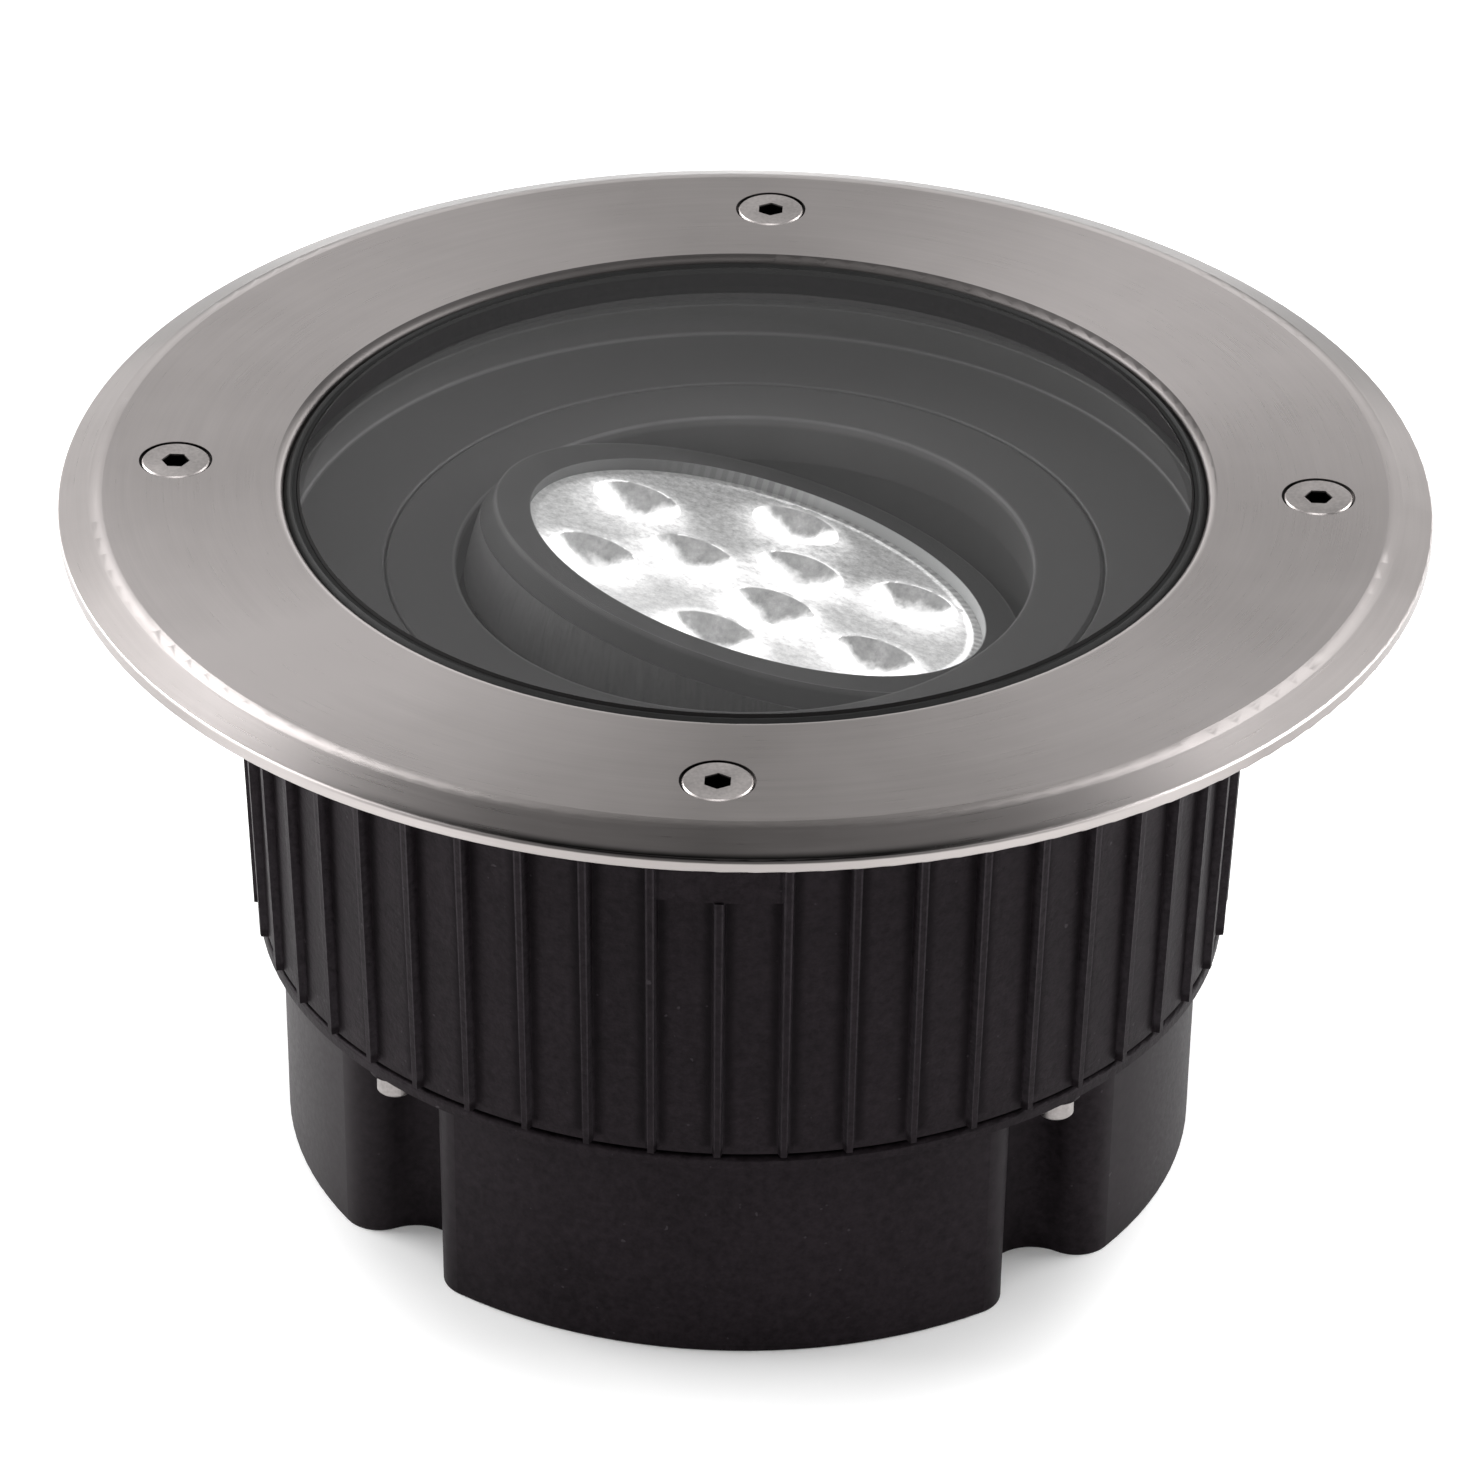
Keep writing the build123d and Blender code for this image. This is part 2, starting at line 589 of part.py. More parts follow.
def baffle_ring():
    inner = BAFFLE_RADIUS - BAFFLE_WALL
    seat_wall = PAN_OUTER + LINE_GAP
    bore = PAN_SKIRT_RADIUS + SEAT_GAP
    step = seat_wall + BAFFLE_FLOOR
    rim = BAFFLE_EDGE + BAFFLE_WALL_HEIGHT
    section = make_face(
        Polyline(
            (BAFFLE_RADIUS, LEDGE_TOP),
            (BAFFLE_RADIUS, rim),
            (inner, rim),
            (inner, BAFFLE_EDGE),
            (seat_wall, PAN_TOP),
            (seat_wall, BAFFLE_SEAT),
            (bore, BAFFLE_SEAT),
            (bore, BAFFLE_UNDERSIDE),
            (step, BAFFLE_UNDERSIDE),
            (step, PAN_TOP - BAFFLE_FLOOR),
            (LEDGE_BORE, LEDGE_TOP),
            close=True,
        )
    )
    edges = ((inner, rim), (inner, BAFFLE_EDGE), (seat_wall, PAN_TOP))
    baffle = revolve(Plane.XZ * rounded(section, BAFFLE_EDGE_ROUND, *edges), Axis.Z)
    hole = disc(BAFFLE_SCREW_SHANK / 2 + HOLE_GAP, LEDGE_TOP, LEDGE_TOP + BAFFLE_SCREW_BITE + HOLE_GAP)
    return baffle - around(hole, BAFFLE_SCREW_CIRCLE, BAFFLE_SCREW_COUNT)


def baffle_screws():
    seat = LEDGE_TOP - LEDGE_THICK
    length = LEDGE_THICK + BAFFLE_SCREW_BITE
    screw = cap_screw(BAFFLE_SCREW_HEAD, BAFFLE_SCREW_HEAD_HEIGHT, BAFFLE_SCREW_SHANK, length, SOCKET_FLATS)
    return around(Pos(0, 0, seat) * screw, BAFFLE_SCREW_CIRCLE, BAFFLE_SCREW_COUNT)


def pan_ear():
    """The ear on the +Y side: a flat plate with a round end about the pivot."""
    top = BAFFLE_UNDERSIDE - CLIP_THICK - LINE_GAP
    rise = top - PIVOT_HEIGHT
    plan = Circle(EAR_WIDTH / 2) + Pos(0, rise / 2) * Rectangle(EAR_WIDTH, rise)
    plan &= Pos(0, rise - EAR_WIDTH) * Rectangle(EAR_WIDTH, 2 * EAR_WIDTH)
    face = Plane((0, EAR_BACK, PIVOT_HEIGHT), x_dir=(-1, 0, 0), z_dir=(0, 1, 0))
    return extrude(face * plan, -EAR_THICK)


def pan_ring():
    guard = PAN_SKIRT_RADIUS - PAN_GUARD_THICK
    section = make_face(
        Polyline(
            (PAN_HOLE, PAN_SKIRT_BOTTOM),
            (guard, PAN_SKIRT_BOTTOM),
            (guard, PAN_GUARD_BOTTOM),
            (PAN_SKIRT_RADIUS, PAN_GUARD_BOTTOM),
            (PAN_SKIRT_RADIUS, PAN_UNDERSIDE),
            (PAN_OUTER, PAN_UNDERSIDE),
            (PAN_OUTER, PAN_TOP),
            (PAN_HOLE, PAN_TOP),
            close=True,
        )
    )
    edges = ((PAN_HOLE, PAN_TOP), (PAN_OUTER, PAN_TOP))
    ring_solid = revolve(Plane.XZ * rounded(section, PAN_EDGE_ROUND, *edges), Axis.Z)
    ring_solid += [pan_ear(), Rot(0, 0, 180) * pan_ear()]
    bore = disc(PIVOT_DIAMETER / 2 + SEAT_GAP, -EAR_BACK, EAR_BACK)
    ring_solid -= Pos(0, 0, PIVOT_HEIGHT) * Rot(-90, 0, 0) * bore
    groove_low = BAFFLE_UNDERSIDE - CLIP_THICK - 2 * SEAT_GAP
    ring_solid -= ring(PAN_OUTER, PAN_SKIRT_RADIUS - CLIP_GROOVE, groove_low, BAFFLE_UNDERSIDE)
    return PAN_PLACE * ring_solid


def retaining_clip():
    """Open spring ring in the groove under the baffle, which keeps the panning ring down."""
    inner = PAN_SKIRT_RADIUS - CLIP_GROOVE + SEAT_GAP
    high = BAFFLE_UNDERSIDE - SEAT_GAP
    clip = ring(inner + CLIP_WIDTH, inner, high - CLIP_THICK, high)
    gap = Pos(inner, 0, high) * Box(CLIP_OPENING, CLIP_OPENING, 4 * CLIP_THICK)
    return PAN_PLACE * (clip - gap)


def pivot_screw():
    """Shoulder screw on the +Y side, through the ear and the washer into the cup."""
    shoulder = PIVOT_FLAT + SEAT_GAP
    back = EAR_BACK + SEAT_GAP
    screw = disc(PIVOT_THREAD / 2, PIVOT_FLAT - PIVOT_THREAD_LENGTH, shoulder)
    screw += disc(PIVOT_DIAMETER / 2, shoulder, back)
    screw += disc(PIVOT_HEAD / 2, back, back + PIVOT_HEAD_HEIGHT)
    screw -= hexagon(PIVOT_SOCKET, back + PIVOT_HEAD_HEIGHT / 2, back + PIVOT_HEAD_HEIGHT)
    return Rot(-90, 0, 0) * screw


def pivot_screws():
    return [HEAD_PLACE * Rot(0, 0, turn) * pivot_screw() for turn in (0, 180)]


def pivot_washers():
    low = PIVOT_FLAT + SEAT_GAP
    washer = Rot(-90, 0, 0) * ring(WASHER_RADIUS, PIVOT_DIAMETER / 2 + SEAT_GAP, low, low + WASHER_THICK)
    return [HEAD_PLACE * Rot(0, 0, turn) * washer for turn in (0, 180)]


# Lamp head, drawn about the pivot and then tilted

def lens_places():
    """Centres of the nine lenses in the plane of the head."""
    inner_turn = LENS_TURN + 180 / LENS_OUTER_COUNT
    inner = PolarLocations(LENS_INNER_RADIUS, LENS_INNER_COUNT, inner_turn)
    outer = PolarLocations(LENS_OUTER_RADIUS, LENS_OUTER_COUNT, LENS_TURN)
    return list(inner) + list(outer)


def head_cup():
    low = math.degrees(math.asin(CUP_BACK / BALL_RADIUS))
    high = math.degrees(math.asin(CUP_TOP / BALL_RADIUS))
    side = CenterArc((0, 0), BALL_RADIUS, low, high - low)
    rest = Polyline(
        side @ 1,
        (CUP_CAVITY_RADIUS, CUP_TOP),
        (CUP_CAVITY_RADIUS, CUP_FLOOR_RISE),
        (0, CUP_FLOOR_RISE),
        (0, CUP_BACK),
        side @ 0,
    )
    section = rounded(make_face([side, *rest.edges()]), CUP_BACK_ROUND, side @ 0)
    cup = revolve(Plane.XZ * section, Axis.Z)
    spot = disc(WASHER_RADIUS + LINE_GAP, PIVOT_FLAT, PIVOT_FLAT + WASHER_RADIUS)
    spot += disc(PIVOT_THREAD / 2 + HOLE_GAP, PIVOT_FLAT - PIVOT_THREAD_LENGTH - HOLE_GAP, PIVOT_FLAT)
    cup -= [Rot(0, 0, turn) * Rot(-90, 0, 0) * spot for turn in (0, 180)]
    board_hole = disc(BOARD_SCREW_SHANK / 2 + HOLE_GAP, CUP_FLOOR_RISE - CUP_FLOOR_THICK / 2, CUP_FLOOR_RISE)
    cup -= board_screw_copies(board_hole)
    sink_hole = disc(SINK_SCREW_SHANK / 2 + HOLE_GAP, CUP_BACK, CUP_BACK + CUP_FLOOR_THICK / 2)
    cup -= around(sink_hole, SINK_SCREW_CIRCLE, SINK_SCREW_COUNT, CHANNEL_START)
    return HEAD_PLACE * cup


def bezel_ring():
    bezel = turned(
        (BEZEL_OPENING, LENS_FRONT),
        (BEZEL_OPENING, BEZEL_RISE),
        (BEZEL_FLAT_RADIUS, BEZEL_RISE),
        (BEZEL_OUTER, CUP_TOP + SEAT_GAP),
        (LENS_RADIUS + SLIP_GAP, CUP_TOP + SEAT_GAP),
        (LENS_RADIUS + SLIP_GAP, LENS_FRONT),
    )
    return HEAD_PLACE * bezel


def lens_plate():
    """Clear plate with a cup over each light source, and short legs that stand on the board."""
    foot = CHIP_TOP + SEAT_GAP
    depth = LENS_FRONT - foot
    shell = turned(
        (0, foot),
        (LENS_FOOT / 2 + LENS_SKIN, foot),
        (LENS_MOUTH / 2 + LENS_SKIN, foot + depth - LENS_PLATE_THICK / 2),
        (0, foot + depth - LENS_PLATE_THICK / 2),
    )
    hollow = turned(
        (0, foot + LENS_SKIN),
        (LENS_FOOT / 2, foot + LENS_SKIN),
        (LENS_MOUTH / 2, LENS_FRONT),
        (0, LENS_FRONT),
    )
    plate = disc(LENS_RADIUS, LENS_BACK + SEAT_GAP, LENS_FRONT - SEAT_GAP)
    plate += [place * shell for place in lens_places()]
    plate -= [place * hollow for place in lens_places()]
    leg = disc(LENS_LEG_DIAMETER / 2, BOARD_TOP, LENS_BACK + LENS_PLATE_THICK / 2)
    leg_start = LENS_TURN + 540 / LENS_OUTER_COUNT
    return HEAD_PLACE * (plate + around(leg, LENS_LEG_CIRCLE, LENS_LEG_COUNT, leg_start))


def board_screw_copies(shape):
    """Copies of a shape at the board screws, midway between the lens legs."""
    return around(shape, LENS_LEG_CIRCLE, LENS_LEG_COUNT, LENS_TURN + 180 / LENS_OUTER_COUNT)


def led_board():
    board = disc(CUP_CAVITY_RADIUS - SLIP_GAP, CUP_FLOOR_RISE, BOARD_TOP)
    hole = disc(BOARD_SCREW_SHANK / 2 + HOLE_GAP, CUP_FLOOR_RISE, BOARD_TOP)
    return HEAD_PLACE * (board - board_screw_copies(hole))


def led_chips():
    chip = Pos(0, 0, BOARD_TOP + CHIP_HEIGHT / 2) * Box(CHIP_SIZE, CHIP_SIZE, CHIP_HEIGHT)
    return [HEAD_PLACE * place * chip for place in lens_places()]


def board_screws():
    length = BOARD_THICK + CUP_FLOOR_THICK / 2 - SLIP_GAP
    screw = cap_screw(
        BOARD_SCREW_HEAD, BOARD_SCREW_HEAD_HEIGHT, BOARD_SCREW_SHANK, length, BOARD_SCREW_SOCKET
    )
    placed = Pos(0, 0, BOARD_TOP) * Rot(180, 0, 0) * screw
    return [HEAD_PLACE * copy for copy in board_screw_copies(placed)]


def heat_sink():
    plate = disc(SINK_RADIUS, SINK_BACK, CUP_BACK)
    rows = GridLocations(FIN_PITCH, FIN_PITCH, FIN_COUNT, 1)
    fins = Sketch() + [row * Rectangle(FIN_THICK, 2 * SINK_RADIUS) for row in rows]
    sink = plate + extrude(Plane.XY.offset(SINK_BACK - FIN_HEIGHT) * (fins & Circle(SINK_RADIUS)), FIN_HEIGHT)
    access = disc(SINK_SCREW_HEAD / 2 + LINE_GAP, SINK_BACK - FIN_HEIGHT, SINK_BACK)
    access += disc(SINK_SCREW_SHANK / 2 + HOLE_GAP, SINK_BACK, CUP_BACK)
    return HEAD_PLACE * (sink - around(access, SINK_SCREW_CIRCLE, SINK_SCREW_COUNT, CHANNEL_START))


def heat_sink_screws():
    length = SINK_PLATE_THICK + CUP_FLOOR_THICK / 2 - SLIP_GAP
    screw = cap_screw(SINK_SCREW_HEAD, SINK_SCREW_HEAD_HEIGHT, SINK_SCREW_SHANK, length, SOCKET_FLATS)
    copies = around(Pos(0, 0, SINK_BACK) * screw, SINK_SCREW_CIRCLE, SINK_SCREW_COUNT, CHANNEL_START)
    return [HEAD_PLACE * copy for copy in copies]


# Supply unit in the base

def post_places():
    """Feet of the four posts that carry the bracket, near its corners."""
    apart = BRACKET_LENGTH - 2 * POST_END_INSET
    across = BRACKET_WIDTH - 2 * POST_SIDE_INSET
    return GridLocations(apart, across, 2, 2)


def supply_bracket():
    plate = extrude(Plane.XY.offset(POST_TOP) * Rectangle(BRACKET_LENGTH, BRACKET_WIDTH), BRACKET_THICK)
    across = SUPPLY_WIDTH / 2 + SEAT_GAP + BRACKET_THICK / 2
    tab = Box(BRACKET_TAB_LENGTH, BRACKET_THICK, BRACKET_TAB_HEIGHT)
    plate += [Pos(SUPPLY_CENTRE, side * across, POST_TOP + BRACKET_TAB_HEIGHT / 2) * tab for side in (-1, 1)]
    hole = disc(BRACKET_SCREW_SHANK / 2 + HOLE_GAP, POST_TOP, BRACKET_TOP)
    return plate - [place * hole for place in post_places()]


def bracket_screws():
    length = BRACKET_THICK + POST_HEIGHT - SLIP_GAP
    screw = cap_screw(
        BRACKET_SCREW_HEAD, BRACKET_SCREW_HEAD_HEIGHT, BRACKET_SCREW_SHANK, length, SOCKET_FLATS
    )
    placed = Pos(0, 0, BRACKET_TOP) * Rot(180, 0, 0) * screw
    return [place * placed for place in post_places()]


def supply_unit():
    middle = Pos(SUPPLY_CENTRE, 0, BRACKET_TOP + SUPPLY_HEIGHT / 2)
    box = middle * Box(SUPPLY_LENGTH, SUPPLY_WIDTH, SUPPLY_HEIGHT)
    return fillet(box.edges().filter_by(Axis.Z) + box.faces().sort_by(Axis.Z)[-1].edges(), SUPPLY_ROUND)


def terminal_block():
    near = SUPPLY_CENTRE + SUPPLY_LENGTH / 2 + TERMINAL_GAP
    middle = Pos(near + TERMINAL_LENGTH / 2, 0, BRACKET_TOP + TERMINAL_HEIGHT / 2)
    block = middle * Box(TERMINAL_LENGTH, TERMINAL_WIDTH, TERMINAL_HEIGHT)
    way = TERMINAL_WIDTH / TERMINAL_WAYS
    for place in GridLocations(way, way, 1, TERMINAL_WAYS):
        hole = Pos(0, 0, TERMINAL_HEIGHT / 4) * Cylinder(TERMINAL_HOLE / 2, TERMINAL_HEIGHT / 2)
        block -= middle * place * hole
    return block


# Cable gland, drawn along Z from the boss face and then laid along the rear lobe

def gland_washer():
    return gland_place() * ring(GLAND_FLATS / 2, GLAND_THREAD / 2 + HOLE_GAP, 0, GLAND_WASHER_THICK)


def gland_body():
    reach = GLAND_PAD_DEPTH + LOCKNUT_THICK + GLAND_WASHER_THICK
    body = hexagon(GLAND_FLATS, GLAND_WASHER_THICK, GLAND_HEX_TOP)
    body += disc(GLAND_THREAD / 2, -reach, GLAND_NECK_TOP)
    return gland_place() * (body - disc(GLAND_BORE / 2, -reach, GLAND_NECK_TOP))


def gland_locknut():
    nut = hexagon(LOCKNUT_FLATS, -GLAND_PAD_DEPTH - LOCKNUT_THICK, -GLAND_PAD_DEPTH)
    return gland_place() * (nut - disc(GLAND_THREAD / 2 + HOLE_GAP, -2 * BASE_RADIUS, 0))


def gland_nut():
    """Domed clamp nut on the neck, with a hexagon round its lower half."""
    low = GLAND_HEX_TOP + LINE_GAP
    high = low + GLAND_NUT_LENGTH
    waist = low + GLAND_NUT_LENGTH / 2
    dome = turned(
        (GLAND_THREAD / 2 + HOLE_GAP, low),
        (GLAND_FLATS / 2, low),
        (GLAND_FLATS / 2, waist),
        (GLAND_NUT_TIP / 2, high),
        (GLAND_NUT_MOUTH / 2, high),
        (GLAND_NUT_MOUTH / 2, GLAND_NECK_TOP + SLIP_GAP),
        (GLAND_THREAD / 2 + HOLE_GAP, GLAND_NECK_TOP + SLIP_GAP),
    )
    grip = hexagon(GLAND_FLATS, low, waist) - disc(GLAND_THREAD / 2 + HOLE_GAP, low, waist)
    return gland_place() * (dome + grip)


def gland_seal():
    return gland_place() * ring(GLAND_BORE / 2 - SEAT_GAP, GLAND_SEAL_BORE / 2, GLAND_HEX_TOP, GLAND_NECK_TOP)


PIECES = (
    base_cover,
    base_gasket,
    base_screws,
    ribbed_housing,
    trim_ring,
    trim_screws,
    glass,
    glass_seal,
    baffle_ring,
    baffle_screws,
    supply_bracket,
    bracket_screws,
    supply_unit,
    terminal_block,
    gland_washer,
    gland_body,
    gland_locknut,
    gland_nut,
    gland_seal,
    pan_ring,
    retaining_clip,
    pivot_washers,
    pivot_screws,
    head_cup,
    bezel_ring,
    lens_plate,
    led_board,
    led_chips,
    board_screws,
    heat_sink,
    heat_sink_screws,
)

os.makedirs("parts", exist_ok=True)
for piece in PIECES:
    made = piece()
    solid = Compound(children=made) if isinstance(made, list) else made
    export_step(solid, f"parts/{piece.__name__}.step")
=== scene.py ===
import math

import bmesh
import bpy
from mathutils import Euler, Matrix, Vector
from mathutils.geometry import delaunay_2d_cdt


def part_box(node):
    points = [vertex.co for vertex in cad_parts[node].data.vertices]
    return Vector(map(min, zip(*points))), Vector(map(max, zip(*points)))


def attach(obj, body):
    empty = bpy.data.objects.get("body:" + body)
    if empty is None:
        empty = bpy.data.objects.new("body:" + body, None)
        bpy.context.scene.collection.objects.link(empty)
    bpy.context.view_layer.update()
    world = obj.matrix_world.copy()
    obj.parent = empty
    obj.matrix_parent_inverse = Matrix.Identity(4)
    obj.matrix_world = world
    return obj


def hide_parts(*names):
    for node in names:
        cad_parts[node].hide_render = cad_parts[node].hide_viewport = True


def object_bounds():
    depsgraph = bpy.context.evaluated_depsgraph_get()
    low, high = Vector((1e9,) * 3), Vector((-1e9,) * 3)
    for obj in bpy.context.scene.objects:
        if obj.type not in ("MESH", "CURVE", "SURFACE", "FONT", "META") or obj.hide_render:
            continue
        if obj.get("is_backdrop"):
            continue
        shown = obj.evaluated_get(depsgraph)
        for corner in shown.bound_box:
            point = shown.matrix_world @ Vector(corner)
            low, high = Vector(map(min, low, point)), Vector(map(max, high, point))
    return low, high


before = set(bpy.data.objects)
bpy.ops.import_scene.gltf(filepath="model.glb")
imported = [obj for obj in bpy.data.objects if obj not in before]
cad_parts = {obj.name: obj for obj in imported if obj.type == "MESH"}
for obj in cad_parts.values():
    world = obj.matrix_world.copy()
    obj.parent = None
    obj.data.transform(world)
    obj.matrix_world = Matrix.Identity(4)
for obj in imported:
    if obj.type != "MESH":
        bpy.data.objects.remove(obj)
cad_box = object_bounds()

# Recessed ground light: the CAD pieces get their finishes here, and the lit lens gets a finer form.
# Lengths are in metres, in the CAD frame: Z up, origin at the middle of the base.
MM = 0.001
TRIM_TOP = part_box("trim_ring")[1].z
GLASS_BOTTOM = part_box("glass")[0].z
BAFFLE_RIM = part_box("baffle_ring")[1].z
BAFFLE_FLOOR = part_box("pan_ring")[1].z

# Tilted lamp head
PIVOT_HEIGHT = 89.512 * MM
LEAN = math.radians(30.0)
TILT = math.radians(17.5)
HEAD = Matrix.Translation((0, 0, PIVOT_HEIGHT)) @ Euler((0, 0, LEAN)).to_matrix().to_4x4()
HEAD = HEAD @ Euler((0, TILT, 0)).to_matrix().to_4x4()
BEZEL_FLAT = 44.0 * MM
LENS_FRONT = 6.45 * MM
LENS_RADIUS = 42.2 * MM
LENS_OPENING = 38.2 * MM
LENS_SEGMENTS = 144
LENS_SKIN = 0.8 * MM
LENS_GLOW = 2.2
EDGE_TEETH = 120.0
FACE_SPACING = 0.9 * MM
ROW_PITCH = 0.866
MERGE_GAP = 0.02 * MM

# Lens cups: each ring is a count, a radius and a first angle
CUP_MOUTH = 7.5 * MM
CUP_FOOT = 2.6 * MM
CUP_DEPTH = 5.4 * MM
CUP_CURVE = 0.72
CUP_SEGMENTS = 48
CUP_RINGS = 12
INNER_CUPS = (3, 11.0 * MM, math.radians(17.0))
OUTER_CUPS = (6, 28.0 * MM, math.radians(-13.0))
FAR_SIDE = math.radians(52.0)
MOST_HALO = 1.3

# Places on the steel trim and its screws, with drops below the trim's top
SCREW_CIRCLE = 91.6 * MM
SEAT_REACH = 6.2 * MM
SOCKET_REACH = 2.5 * MM
SCREW_EDGE = 5.4 * MM
SCREW_DROP = 19.0 * MM
BEVEL_TOP = 103.6 * MM
OPENING_EDGE = 75.6 * MM
RIM_DROP = 2.4 * MM
LIP_DROP = 1.8 * MM
LIP_FOOT_DROP = 3.0 * MM

# Places on the housing and base
RIB_COUNT = 48
RIB_PITCH = 2 * math.pi / RIB_COUNT
PAD_FIRST_RIB = 4.0
PAD_RIBS = 8.0
PAD_FOOT = 89.6 * MM
PANEL_SIDE = 76.5 * MM
PANEL_FOOT = 42.0 * MM
LOBE_TOP = 34.0 * MM

# Places on the baffle, the panning ring and the glass
EDGE_LINES = (46.7 * MM, 57.8 * MM, 74.0 * MM)
BAFFLE_WALL = 73.4 * MM
PAN_HOLE = 50.0 * MM
GLASS_FACE = 71.35 * MM
GLASS_RIM = 75.9 * MM

# Colours
TRIM_DARK = (0.40, 0.37, 0.36)
TRIM_LIGHT = (0.86, 0.80, 0.785)
SCREW_DARK = (0.44, 0.41, 0.40)
SCREW_LIGHT = (0.68, 0.635, 0.62)
# Black for painted shade in recesses, gaps and shaded places, and for the glass's border
SHADE_AND_BORDER_BLACK = (0.012, 0.011, 0.011, 1.0)
COAT_DARK = (0.0026, 0.0018, 0.0023)
COAT_LIGHT = (0.0125, 0.0096, 0.0114)
COAT_SHINE = (1.0, 0.86, 0.95, 1.0)
# Painted light on the base's side lobes
LOBE_PAINTED_LIGHT = (0.036, 0.033, 0.034, 1.0)
# Painted shade at the rib roots
ROOT_SHADE_BLACK = (0.0008, 0.0006, 0.0007, 1.0)
# Pale specks, and painted highlights along the rib edges
SPECK_AND_HIGHLIGHT_COAT = (0.030, 0.026, 0.029, 1.0)
# Painted highlight lines along the baffle's turned edges
BAFFLE_EDGE_HIGHLIGHT = (0.16, 0.155, 0.158, 1.0)
# Painted highlight along the bezel's outer edge
BEZEL_EDGE_HIGHLIGHT = (0.13, 0.127, 0.127, 1.0)
PANE_DARK = (0.962, 0.955, 0.955)
PANE_LIGHT = (0.980, 0.975, 0.975)
PANE_SHINE = (0.1, 0.1, 0.1, 1.0)
PANE_OPEN = (0.95, 0.96, 0.96, 1.0)
CHIP_BODY = (0.9, 0.85, 0.6, 1.0)
CHIP_DARK = (0.95, 0.93, 0.85)
CHIP_LIGHT = (1.0, 1.0, 0.98)
CHIP_GLOW = 4.0

# Studio: each softbox is a name, a place, a width, a height and a power
FLOOR_SIZE = 6.0
MIDDLE = Vector((0.0, 0.0, 0.07))
SOFTBOXES = (
    ("left_softbox", (-1.4, 0.35, 0.55), 1.0, 0.8, 26.0),
    ("right_softbox", (1.4, 0.35, 0.55), 1.0, 0.8, 18.0),
    ("left_back_softbox", (-0.57, 0.87, 1.08), 0.5, 0.5, 1.6),
    ("right_back_softbox", (0.48, 0.86, 1.13), 0.5, 0.5, 1.1),
    ("front_softbox", (0.0, -0.7, 1.35), 0.8, 0.8, 6.0),
)
WALL_LEVEL = 1.1
CEILING_LEVEL = 0.10
WALL_TOP = math.radians(8.0)
CEILING_EDGE = math.radians(62.0)
FLAG_WAY = (-0.035, 0.866, 0.499)
FLAG_EDGE = math.radians(42.0)
FLAG_CORE = math.radians(22.0)

# Camera of the photograph
VIEW_TURN = math.radians(-87.7)
VIEW_RISE = math.radians(29.92)
VIEW_DISTANCE = 1.343
VIEW_ROLL = math.radians(0.70)
VIEW_END = 50.0
FOCAL_PIXELS = 8383.9
FRAME_PIXELS = 1480.0
TRIM_PIXEL = (745.74, 478.12)
SENSOR = 36.0


class Term:
    """A shader socket that takes part in Python arithmetic."""

    def __init__(self, nodes, socket):
        self.nodes = nodes
        self.socket = socket

    def __add__(self, other):
        return self.nodes.math("ADD", self, other)

    def __sub__(self, other):
        return self.nodes.math("SUBTRACT", self, other)

    def __rsub__(self, other):
        return self.nodes.math("SUBTRACT", other, self)

    def __mul__(self, other):
        return self.nodes.math("MULTIPLY", self, other)

    def __truediv__(self, other):
        return self.nodes.math("DIVIDE", self, other)

    def __pow__(self, other):
        return self.nodes.math("POWER", self, other)

    __radd__ = __add__
    __rmul__ = __mul__

    def __neg__(self):
        return 0 - self

    def __abs__(self):
        return self.nodes.math("ABSOLUTE", self)

    def __round__(self):
        return self.nodes.math("ROUND", self)

    def most(self, other):
        return self.nodes.math("MAXIMUM", self, other)

    def least(self, other):
        return self.nodes.math("MINIMUM", self, other)

    def above(self, low, high):
        """A smooth step from 0 at low to 1 at high."""
        sockets = {"Value": self, "From Min": low, "From Max": high}
        return self.nodes.add("ShaderNodeMapRange", {"interpolation_type": "SMOOTHSTEP"}, sockets)

    def band(self, start, full, fade, end):
        """1 from full to fade, and 0 before start and after end."""
        return self.above(start, full) * (1 - self.above(fade, end))


class Nodes:
    """A shader tree that is drawn node by node."""

    def __init__(self, tree):
        self.tree = tree

    def add(self, kind, settings=None, sockets=None, out=0):
        """Adds a node: its settings first, then the values or links of its sockets."""
        node = self.tree.nodes.new(kind)
        for key, value in (settings or {}).items():
            if key == "stops":
                self.set_stops(node.color_ramp, value)
            else:
                setattr(node, key, value)
        for key, value in (sockets or {}).items():
            self.feed(node.inputs[key], value)
        return Term(self, node.outputs[out])

    def set_stops(self, ramp, stops):
        while len(ramp.elements) < len(stops):
            ramp.elements.new(1.0)
        for element, (position, colour) in zip(ramp.elements, stops):
            element.position = position
            element.color = (*colour, 1.0)

    def feed(self, socket, value):
        if isinstance(value, Term):
            self.tree.links.new(value.socket, socket)
        else:
            socket.default_value = value

    def math(self, operation, first, second=0.0):
        return self.add("ShaderNodeMath", {"operation": operation}, {0: first, 1: second})

    def split(self, vector):
        node = self.add("ShaderNodeSeparateXYZ", sockets={0: vector}).socket.node
        return [Term(self, socket) for socket in node.outputs]

    def join(self, x, y, z):
        return self.add("ShaderNodeCombineXYZ", sockets={0: x, 1: y, 2: z})


